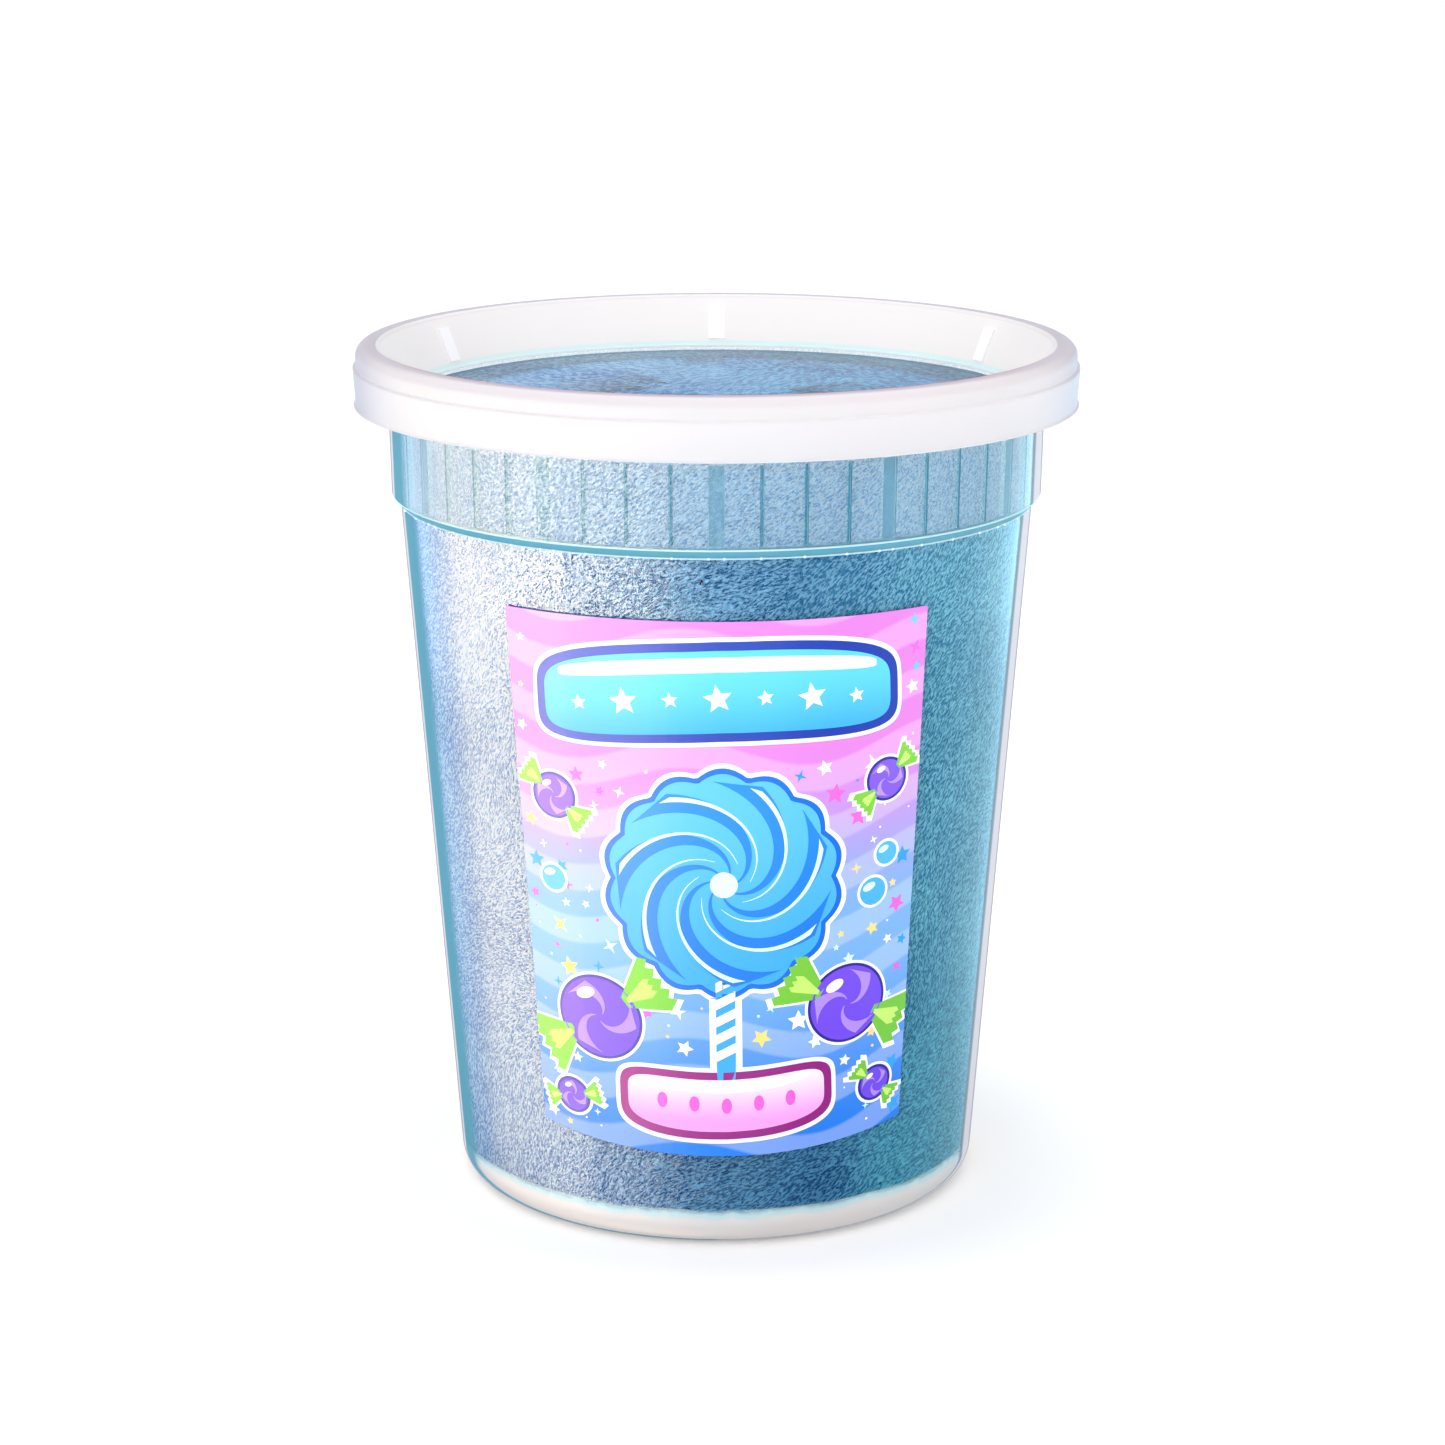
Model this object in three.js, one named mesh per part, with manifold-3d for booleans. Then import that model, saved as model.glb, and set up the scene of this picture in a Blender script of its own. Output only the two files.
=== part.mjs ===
// A quart tub of blue cotton candy: a clear tub, the lid pressed on it, the candy packed inside and a label round
// the front. Millimetres, +Z up. The origin is the middle of the tub's foot, and the label faces -Y.
import * as THREE from "three";
import { mergeVertices } from "three/addons/utils/BufferGeometryUtils.js";
import Module from "manifold-3d";

const wasm = await Module();
wasm.setup();

const TURN_STEPS = 72; // flats round the tub and the lid
const ARC_STEPS = 3; // steps in each rounded corner of an outline
const WALL = 0.8; // plastic of the tub and of the lid
const CLEAR = 0.3; // gap kept between touching pieces
const SOFT = 0.5; // round on a moulded edge

// Tub: outside radii and heights, from the foot up.
const FOOT_RADIUS = 42.5; // the side wall carried down to the floor
const HEEL_ROUND = 4.2;
const PUSH_UP = 1.8; // hollow under the floor, inside the foot ring
const PUSH_UP_RADIUS = 35.5;
const FOOT_RING_INNER = 36.3;
const FLOOR_THICK = 1.0;
const WALL_TOP = 112.4;
const WALL_TOP_RADIUS = 50.95;
const BAND_FOOT = 114.2;
const BAND_RADIUS = 52.4;
const BAND_TOP = 128.4;
const BAND_TOP_RADIUS = 52.7;
const MOUTH_RADIUS = 55.6; // where the flared mouth meets its flange
const FLANGE_RADIUS = 56.6;
const FLANGE_FOOT = 135.6;
const TUB_TOP = 137.3;
const BEND_LIFT = 0.4; // bends on the inside of the wall sit this much above those outside

// Ribs inside the band: every fourth one is broad.
const RIB_COUNT = 48;
const RIB_BROAD_EVERY = 4;
const RIB_DEPTH = 0.8;
const RIB_THIN = 0.5;
const RIB_BROAD = 2.4;
const RIB_FOOT = 114.0;
const RIB_TOP = 127.6;
const RIB_ROOT = 0.35; // how far a rib reaches into the wall behind it

// Lid: a recessed panel, a sloping recess wall, a rounded rim and a skirt with a small step.
const LID_TOP = 138.4;
const LID_RADIUS = 58.5;
const SHOULDER_RADIUS = 57.8;
const SHOULDER_ROUND = 1.7;
const RIM_ROUND = 0.8;
const SKIRT_FOOT = 128.9;
const STEP_HEIGHT = 134.9;
const STEP_DEPTH = 0.25;
const RIM_INNER = 54.0;
const PANEL_TOP = 130.1;
const PANEL_RADIUS = 50.3;
const PANEL_ROUND = 0.9;
const BEAD_HEIGHT = 134.0; // bead that grips, under the tub's flange
const BEAD_HALF = 0.7;
const BEAD_RADIUS = 56.2;
const TAB_COUNT = 6; // stacking tabs on the recess wall
const TAB_WIDTH = 2.8;
const TAB_DEPTH = 0.45;
const TAB_TOP = 136.4;

// Candy: it stands a little off the wall, the floor and the lid.
const CANDY_FLOOR = 3.3;
const CANDY_FOOT_RADIUS = 41.4;
const CANDY_WAIST = 111.0;
const CANDY_WAIST_RADIUS = 49.6;
const CANDY_TOP = 128.7;
const CANDY_TOP_RADIUS = 50.4;
const CANDY_HEEL_ROUND = 4.5;
const CANDY_BROW_ROUND = 2.4;
const CANDY_AROUND = 60;
const CANDY_ALONG = 28;
const FOLD_DEPTH = 1.3; // how deep the folds sink, all waves together
const FOLD_WAVES = 7;
const FEWEST_LOBES = 2; // round the slowest wave
const WAVE_RISE = 1.5; // turns that a wave winds up the candy, for each step of its slant
const WAVE_SHIFT = 2.4; // spreads the waves' phases

// Label: a sheet that keeps the wall's taper, with a bowed lower edge, turned a little further at its foot.
const LABEL_TOP = 103.5;
const LABEL_FOOT = 16.0;
const LABEL_BOW = 3.2; // how much higher the lower corners are than the middle
const LABEL_HALF_ANGLE = THREE.MathUtils.degToRad(39.5);
const LABEL_SKEW = THREE.MathUtils.degToRad(1.6);
const LABEL_THICK = 0.3;
const LABEL_AROUND = 24;

/** One corner of an outline: distance from the axis, height, and the radius that rounds it. */
const corner = (radius, height, round = 0) => ({ at: new THREE.Vector2(radius, height), round });

/** The outline's points, with each rounded corner as an arc. */
function outline(corners) {
  const points = [];
  corners.forEach(({ at, round }, i) => {
    if (round === 0) {
      points.push(at);
      return;
    }
    const back = corners[i - 1].at.clone().sub(at).normalize();
    const ahead = corners[i + 1].at.clone().sub(at).normalize();
    const half = Math.acos(THREE.MathUtils.clamp(back.dot(ahead), -1, 1)) / 2;
    const middle = at.clone().addScaledVector(back.clone().add(ahead).normalize(), round / Math.sin(half));
    const from = at.clone().addScaledVector(back, round / Math.tan(half)).sub(middle);
    const to = at.clone().addScaledVector(ahead, round / Math.tan(half)).sub(middle);
    const sweep = Math.atan2(from.cross(to), from.dot(to));
    for (let k = 0; k <= ARC_STEPS; k++) {
      points.push(from.clone().rotateAround(new THREE.Vector2(), (sweep * k) / ARC_STEPS).add(middle));
    }
  });
  return points;
}

/** A closed body turned from an outline that starts and ends on the axis, standing along +Z. */
const turned = (corners) => new THREE.LatheGeometry(outline(corners), TURN_STEPS).rotateX(Math.PI / 2);

/** A three.js geometry as a solid that can be joined. */
function solidOf(geometry) {
  const bare = geometry.clone();
  bare.deleteAttribute("normal");
  bare.deleteAttribute("uv");
  const merged = mergeVertices(bare);
  return new wasm.Manifold(
    new wasm.Mesh({
      numProp: 3,
      vertProperties: merged.attributes.position.array,
      triVerts: new Uint32Array(merged.index.array),
    }),
  );
}

/** A solid back as a three.js geometry. */
function geometryOf(solid) {
  const { vertProperties, triVerts } = solid.getMesh();
  const geometry = new THREE.BufferGeometry();
  geometry.setAttribute("position", new THREE.BufferAttribute(vertProperties, 3));
  geometry.setIndex(new THREE.BufferAttribute(triVerts, 1));
  geometry.computeVertexNormals();
  return geometry;
}

/** A turned body joined with upright bars spaced evenly round it: makeBar(i) gives bar i standing at the front. */
function withBars(body, count, makeBar) {
  let solid = solidOf(body);
  for (let i = 0; i < count; i++) {
    const bar = makeBar(i).rotateZ((2 * Math.PI * i) / count);
    solid = solid.add(solidOf(bar));
  }
  return geometryOf(solid);
}

/** The outside radius of the tub's side wall at a height. */
const wallRadius = (height) => THREE.MathUtils.mapLinear(height, 0, WALL_TOP, FOOT_RADIUS, WALL_TOP_RADIUS);

function tub() {
  const floor = PUSH_UP + FLOOR_THICK;
  const body = turned([
    corner(0, PUSH_UP),
    corner(PUSH_UP_RADIUS, PUSH_UP, SOFT),
    corner(FOOT_RING_INNER, 0, CLEAR),
    corner(FOOT_RADIUS, 0, HEEL_ROUND),
    corner(WALL_TOP_RADIUS, WALL_TOP, SOFT),
    corner(BAND_RADIUS, BAND_FOOT, SOFT),
    corner(BAND_TOP_RADIUS, BAND_TOP),
    corner(MOUTH_RADIUS, FLANGE_FOOT),
    corner(FLANGE_RADIUS, FLANGE_FOOT),
    corner(FLANGE_RADIUS, TUB_TOP, SOFT),
    corner(MOUTH_RADIUS, TUB_TOP),
    corner(BAND_TOP_RADIUS - WALL, BAND_TOP + BEND_LIFT),
    corner(BAND_RADIUS - WALL, BAND_FOOT + BEND_LIFT),
    corner(WALL_TOP_RADIUS - WALL, WALL_TOP + BEND_LIFT),
    corner(FOOT_RADIUS - WALL, floor, HEEL_ROUND - WALL),
    corner(0, floor),
  ]);
  const reach = RIB_DEPTH + RIB_ROOT;
  const ribAxis = BAND_RADIUS - WALL + RIB_ROOT - reach / 2;
  const makeRib = (i) => {
    const width = i % RIB_BROAD_EVERY === 0 ? RIB_BROAD : RIB_THIN;
    return new THREE.BoxGeometry(width, reach, RIB_TOP - RIB_FOOT).translate(0, -ribAxis, (RIB_TOP + RIB_FOOT) / 2);
  };
  return withBars(body, RIB_COUNT, makeRib);
}

function lid() {
  const skirtInner = LID_RADIUS - WALL;
  const channelOuter = SHOULDER_RADIUS - WALL;
  const body = turned([
    corner(0, PANEL_TOP - WALL),
    corner(PANEL_RADIUS + WALL, PANEL_TOP - WALL, PANEL_ROUND),
    corner(RIM_INNER + WALL, LID_TOP - WALL),
    corner(channelOuter, LID_TOP - WALL, RIM_ROUND),
    corner(channelOuter, BEAD_HEIGHT + BEAD_HALF),
    corner(BEAD_RADIUS, BEAD_HEIGHT),
    corner(skirtInner - STEP_DEPTH, BEAD_HEIGHT - BEAD_HALF),
    corner(skirtInner, SKIRT_FOOT),
    corner(LID_RADIUS, SKIRT_FOOT),
    corner(LID_RADIUS - STEP_DEPTH, STEP_HEIGHT),
    corner(SHOULDER_RADIUS, STEP_HEIGHT + STEP_DEPTH),
    corner(SHOULDER_RADIUS, LID_TOP, SHOULDER_ROUND),
    corner(RIM_INNER, LID_TOP, RIM_ROUND),
    corner(PANEL_RADIUS, PANEL_TOP, PANEL_ROUND),
    corner(0, PANEL_TOP),
  ]);
  const lean = Math.atan2(RIM_INNER - PANEL_RADIUS, LID_TOP - PANEL_TOP);
  const middle = (TAB_TOP + PANEL_TOP) / 2;
  const slopeRadius = THREE.MathUtils.mapLinear(middle, PANEL_TOP, LID_TOP, PANEL_RADIUS, RIM_INNER);
  const makeTab = () =>
    new THREE.BoxGeometry(TAB_WIDTH, 2 * TAB_DEPTH, TAB_TOP - PANEL_TOP)
      .rotateX(lean)
      .translate(0, -slopeRadius, middle);
  return withBars(body, TAB_COUNT, makeTab);
}

/** How deep the candy's folds sink at an angle and a height: long soft waves that wind round it. */
function foldDepth(angle, height) {
  let sum = 0;
  for (let i = 0; i < FOLD_WAVES; i++) {
    const slant = ((3 * i) % 5) - 2;
    const winding = (2 * Math.PI * WAVE_RISE * slant * height) / CANDY_TOP;
    sum += 0.5 + 0.5 * Math.sin((FEWEST_LOBES + i) * angle + winding + WAVE_SHIFT * i * i);
  }
  return (FOLD_DEPTH * sum) / FOLD_WAVES;
}

function cottonCandy() {
  const meridian = new THREE.CurvePath();
  const bends = outline([
    corner(0, CANDY_FLOOR),
    corner(CANDY_FOOT_RADIUS, CANDY_FLOOR, CANDY_HEEL_ROUND),
    corner(CANDY_WAIST_RADIUS, CANDY_WAIST),
    corner(CANDY_TOP_RADIUS, CANDY_TOP, CANDY_BROW_ROUND),
    corner(0, CANDY_TOP),
  ]);
  bends.slice(1).forEach((bend, i) => meridian.add(new THREE.LineCurve(bends[i], bend)));

  const positions = [];
  const rings = CANDY_ALONG - 1;
  for (let ring = 1; ring <= rings; ring++) {
    const spot = meridian.getPointAt(ring / CANDY_ALONG);
    const along = meridian.getTangentAt(ring / CANDY_ALONG);
    const fade = Math.min(1, spot.x / CANDY_FOOT_RADIUS);
    for (let step = 0; step < CANDY_AROUND; step++) {
      const angle = (2 * Math.PI * step) / CANDY_AROUND;
      const sunk = foldDepth(angle, spot.y) * fade;
      const radius = spot.x - sunk * along.y;
      positions.push(radius * Math.sin(angle), -radius * Math.cos(angle), spot.y + sunk * along.x);
    }
  }
  const bottom = rings * CANDY_AROUND;
  const top = bottom + 1;
  positions.push(0, 0, CANDY_FLOOR, 0, 0, CANDY_TOP);

  const faces = [];
  const lastRing = (rings - 1) * CANDY_AROUND;
  for (let step = 0; step < CANDY_AROUND; step++) {
    const next = (step + 1) % CANDY_AROUND;
    faces.push(bottom, next, step);
    faces.push(top, lastRing + step, lastRing + next);
    for (let below = 0; below < lastRing; below += CANDY_AROUND) {
      const above = below + CANDY_AROUND;
      faces.push(below + step, below + next, above + next);
      faces.push(below + step, above + next, above + step);
    }
  }
  const geometry = new THREE.BufferGeometry();
  geometry.setAttribute("position", new THREE.Float32BufferAttribute(positions, 3));
  geometry.setIndex(faces);
  geometry.computeVertexNormals();
  return geometry;
}

/** A box of unit size bent round the tub's wall, CLEAR off it. */
function label() {
  const sheet = new THREE.BoxGeometry(1, 1, 1, LABEL_AROUND, 1, 1);
  const place = sheet.attributes.position;
  for (let i = 0; i < place.count; i++) {
    const across = 2 * place.getX(i);
    const outward = 0.5 - place.getY(i);
    const upward = place.getZ(i) + 0.5;
    const foot = LABEL_FOOT + LABEL_BOW * across * across;
    const height = THREE.MathUtils.lerp(foot, LABEL_TOP, upward);
    const angle = LABEL_HALF_ANGLE * across + LABEL_SKEW * (1 - upward);
    const radius = wallRadius(height) + CLEAR + LABEL_THICK * outward;
    place.setXYZ(i, radius * Math.sin(angle), -radius * Math.cos(angle), height);
  }
  sheet.computeVertexNormals();
  return sheet;
}

/** Clear or milky plastic. */
const plastic = (color, opacity, roughness) =>
  new THREE.MeshStandardMaterial({ color, opacity, roughness, transparent: true, metalness: 0 });

/** An opaque surface. */
const opaque = (color, roughness) => new THREE.MeshStandardMaterial({ color, roughness, metalness: 0 });

const PIECES = {
  tub: [tub(), plastic(0xdfeef2, 0.3, 0.12)],
  lid: [lid(), plastic(0xf2f0f4, 0.6, 0.3)],
  cotton_candy: [cottonCandy(), opaque(0x4f8fb8, 0.9)],
  label: [label(), opaque(0xd68ce8, 0.35)],
};

const candyTub = new THREE.Group();
for (const [name, [geometry, material]] of Object.entries(PIECES)) {
  const mesh = new THREE.Mesh(geometry, material);
  mesh.name = name;
  candyTub.add(mesh);
}

export default candyTub;
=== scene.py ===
"""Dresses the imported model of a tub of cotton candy: clear tub, milky lid, packed floss and printed label.

Sizes are in millimetres in the model's own frame, with +Z up, the label towards -Y and the origin in the
middle of the tub's foot. Blender's objects are in metres, so sizes are turned by MM on their way into a mesh.
The finishes and the studio have their places in metres.
"""

from __future__ import annotations

import logging
import math
from collections.abc import Callable, Iterator, Sequence
from contextlib import contextmanager
from dataclasses import dataclass, field
from enum import Enum

import bmesh
import bpy
import numpy as np
from mathutils import Matrix, Vector, noise
from mathutils.bvhtree import BVHTree

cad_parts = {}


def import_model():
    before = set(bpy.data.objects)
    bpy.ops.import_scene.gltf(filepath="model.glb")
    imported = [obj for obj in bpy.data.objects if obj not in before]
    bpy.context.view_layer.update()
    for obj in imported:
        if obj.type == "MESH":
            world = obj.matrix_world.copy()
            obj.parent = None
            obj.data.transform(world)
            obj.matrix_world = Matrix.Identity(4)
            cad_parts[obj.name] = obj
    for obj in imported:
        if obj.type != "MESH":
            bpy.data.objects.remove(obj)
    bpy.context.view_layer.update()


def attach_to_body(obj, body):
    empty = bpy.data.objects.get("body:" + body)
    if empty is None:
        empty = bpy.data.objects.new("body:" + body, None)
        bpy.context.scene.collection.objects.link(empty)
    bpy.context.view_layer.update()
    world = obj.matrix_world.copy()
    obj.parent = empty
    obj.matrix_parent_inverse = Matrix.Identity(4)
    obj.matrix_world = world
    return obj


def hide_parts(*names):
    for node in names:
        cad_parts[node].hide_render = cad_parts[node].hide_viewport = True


MM = 0.001
BODY = "root"
ARC_STEPS = 8
SMOOTH_ANGLE = math.radians(38)
SHADE = "shade"
FLOW = "flow"
PRINT_MAP = "print"
INK_MARK = "ink"
LOG = logging.getLogger("candy_tub")

Colour = tuple[float, float, float, float]
Piece = bpy.types.Object
Group = bpy.types.NodeTree
Socket = bpy.types.NodeSocket
Node = bpy.types.Node
Material = bpy.types.Material
Face = bmesh.types.BMFace

WHITE: Colour = (1.0, 1.0, 1.0, 1.0)


def ink(code: str) -> Colour:
    """Turns a colour as printed into the linear values that shaders use.

    Args:
        code: Six hexadecimal digits, such as "79CCFD".

    Returns:
        Red, green, blue and an alpha of 1.
    """
    parts = [int(code[i : i + 2], 16) / 255 for i in (0, 2, 4)]
    linear = [p / 12.92 if p <= 0.04045 else ((p + 0.055) / 1.055) ** 2.4 for p in parts]
    return (*linear, 1.0)


# ---- workbench


def clear_selection() -> None:
    """Deselects every object."""
    bpy.ops.object.select_all(action="DESELECT")


def pick(*pieces: Piece) -> None:
    """Selects these objects alone, with the first one active.

    Args:
        pieces: The objects.
    """
    clear_selection()
    for piece in pieces:
        piece.select_set(True)
    bpy.context.view_layer.objects.active = pieces[0]


@contextmanager
def editing(piece: Piece, mode: str = "VERT") -> Iterator[None]:
    """Keeps a piece in edit mode with nothing selected while the block runs.

    Args:
        piece: The object to edit.
        mode: VERT, EDGE or FACE, what is selected.
    """
    pick(piece)
    bpy.ops.object.mode_set(mode="EDIT")
    bpy.ops.mesh.select_mode(type=mode)
    bpy.ops.mesh.select_all(action="DESELECT")
    yield
    bpy.ops.object.mode_set(mode="OBJECT")


def select_faces(piece: Piece, wanted: Callable[[Face], bool]) -> int:
    """Selects the faces of a piece in edit mode that a test wants.

    Args:
        piece: The object that is being edited.
        wanted: Says whether a face is selected.

    Returns:
        How many faces were selected.
    """
    mesh = bmesh.from_edit_mesh(piece.data)
    count = 0
    for face in mesh.faces:
        chosen = wanted(face)
        face.select_set(chosen)
        count += chosen
    mesh.select_flush_mode()
    bmesh.update_edit_mesh(piece.data)
    return count


def give_slots(piece: Piece, tests: Sequence[tuple[int, Callable[[Face], bool]]]) -> None:
    """Gives the faces that a test wants a material slot, each test over the ones before it.

    Args:
        piece: The object, with its materials.
        tests: Pairs of a slot's number and a test for its faces.
    """
    with editing(piece, "FACE"):
        for number, wanted in tests:
            count = select_faces(piece, wanted)
            LOG.info("%s, finish %d: %d faces", piece.name, number, count)
            piece.active_material_index = number
            bpy.ops.object.material_slot_assign()


def where(face: Face) -> tuple[float, float, float]:
    """Gives a face's middle: its distance from the axis, its angle from the front and its height."""
    place = face.calc_center_median() / MM
    return math.hypot(place.x, place.y), math.atan2(place.x, -place.y), place.z


@dataclass(frozen=True)
class Bend:
    """One corner of a turned outline: distance from the axis, height, and the radius that rounds it."""

    radius: float
    height: float
    round: float = 0.0


def rounded(bends: Sequence[Bend]) -> list[Vector]:
    """Gives an outline's points, with each rounded corner as an arc.

    Args:
        bends: The outline's corners in order.

    Returns:
        Points with the distance from the axis as x and the height as y.
    """
    points: list[Vector] = []
    for i, bend in enumerate(bends):
        at = Vector((bend.radius, bend.height))
        if bend.round == 0:
            points.append(at)
            continue
        back = (Vector((bends[i - 1].radius, bends[i - 1].height)) - at).normalized()
        ahead = (Vector((bends[i + 1].radius, bends[i + 1].height)) - at).normalized()
        half = back.angle(ahead) / 2
        middle = at + (back + ahead).normalized() * (bend.round / math.sin(half))
        start = at + back * (bend.round / math.tan(half)) - middle
        sweep = math.pi - 2 * half
        turn = math.copysign(sweep, start.x * ahead.y - start.y * ahead.x)
        for k in range(ARC_STEPS + 1):
            points.append(Matrix.Rotation(turn * k / ARC_STEPS, 2) @ start + middle)
    return points


def braced(points: Sequence[Vector], inset: float = 0.5) -> list[Vector]:
    """Adds a point close to each end of an outline's long runs, which keeps smooth shading true on them.

    Args:
        points: An outline's points.
        inset: How far from a run's ends the points are added.

    Returns:
        The points with the new ones among them.
    """
    result = [points[0]]
    for start, end in zip(points, points[1:]):
        run = (end - start).length
        if run > 5 * inset:
            result += [start.lerp(end, inset / run), start.lerp(end, 1 - inset / run)]
        result.append(end)
    return result


def upright_edges(count: int, half_angle: Callable[[int], float], steps: int) -> list[float]:
    """Gives the angles of a turned body's upright edges: at each rib's sides, and evenly between the ribs.

    Args:
        count: How many ribs there are.
        half_angle: Gives half the angle that a rib takes.
        steps: How many flats there are between two ribs.

    Returns:
        The angles in radians.
    """
    pitch = 2 * math.pi / count
    angles: list[float] = []
    for i in range(count):
        start = i * pitch + half_angle(i)
        end = (i + 1) * pitch - half_angle(i + 1)
        angles += [start + (end - start) * k / steps for k in range(steps + 1)]
    return angles


def turned(name: str, outline: Sequence[Vector], angles: Sequence[float]) -> Piece:
    """Makes a closed round body: a ring is drawn and extruded from point to point, and closed on the axis.

    Args:
        name: The new object's name.
        outline: Points from the axis and back to it, distance and height in millimetres.
        angles: Where each upright edge stands, in radians from the front.

    Returns:
        The new object.
    """
    first = outline[1]
    clear_selection()
    bpy.ops.mesh.primitive_circle_add(vertices=len(angles), radius=first.x * MM)
    piece = bpy.context.active_object
    piece.name = piece.data.name = name
    for vertex, angle in zip(piece.data.vertices, angles):
        vertex.co = Vector((first.x * math.sin(angle), -first.x * math.cos(angle), first.y)) * MM
    with editing(piece):
        bpy.ops.mesh.select_all(action="SELECT")
        for here, there in zip(outline[1:-2], outline[2:-1]):
            rise, scale = (there.y - here.y) * MM, there.x / here.x
            bpy.ops.mesh.extrude_region_move(TRANSFORM_OT_translate={"value": (0, 0, rise)})
            bpy.ops.transform.resize(value=(scale, scale, 1), center_override=(0, 0, 0))
        close_on_axis((outline[-1].y - outline[-2].y) * MM)
        bpy.ops.mesh.select_all(action="DESELECT")
        mesh = bmesh.from_edit_mesh(piece.data)
        mesh.verts.ensure_lookup_table()
        for index in range(len(angles)):
            mesh.verts[index].select_set(True)
        mesh.select_flush(True)
        bmesh.update_edit_mesh(piece.data)
        close_on_axis((outline[0].y - first.y) * MM)
        bpy.ops.mesh.select_all(action="SELECT")
        bpy.ops.mesh.normals_make_consistent(inside=False)
    return piece


def close_on_axis(rise: float) -> None:
    """Extrudes the selected ring by a rise and draws it together to one point."""
    bpy.ops.mesh.extrude_region_move(TRANSFORM_OT_translate={"value": (0, 0, rise)})
    bpy.ops.mesh.merge(type="CENTER")


def smooth(piece: Piece, angle: float = SMOOTH_ANGLE) -> None:
    """Shades a piece smooth, but for edges sharper than an angle."""
    pick(piece)
    bpy.ops.object.shade_smooth_by_angle(angle=angle)


def modify(piece: Piece, kind: str, **settings: object) -> None:
    """Gives a piece a modifier and applies it.

    Args:
        piece: The object.
        kind: The modifier's type.
        settings: Attributes of the modifier.
    """
    pick(piece)
    bpy.ops.object.modifier_add(type=kind)
    modifier = piece.modifiers[-1]
    for name, value in settings.items():
        setattr(modifier, name, value)
    bpy.ops.object.modifier_apply(modifier=modifier.name)


def coat(piece: Piece, materials: Sequence[Material]) -> None:
    """Gives a piece its material slots, in order, in place of any it has.

    Args:
        piece: The object.
        materials: The materials in order.
    """
    piece.data.materials.clear()
    for material in materials:
        piece.data.materials.append(material)


def attach(piece: Piece, node: str) -> None:
    """Makes a finished piece ride on the body and stand for a node.

    Args:
        piece: The finished object.
        node: The node of the model that the piece stands for.
    """
    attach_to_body(piece, BODY)
    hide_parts(node)
    triangles = sum(len(face.vertices) - 2 for face in piece.data.polygons)
    LOG.info("%s: %d triangles", piece.name, triangles)


# ---- shader trees


@dataclass(frozen=True)
class Grain:
    """A noise: its scale, detail and distortion, and the values that are stretched to 0 and 1, if any."""

    scale: float
    detail: float = 2.0
    distortion: float = 0.0
    low: float | None = None
    high: float = 1.0


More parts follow.
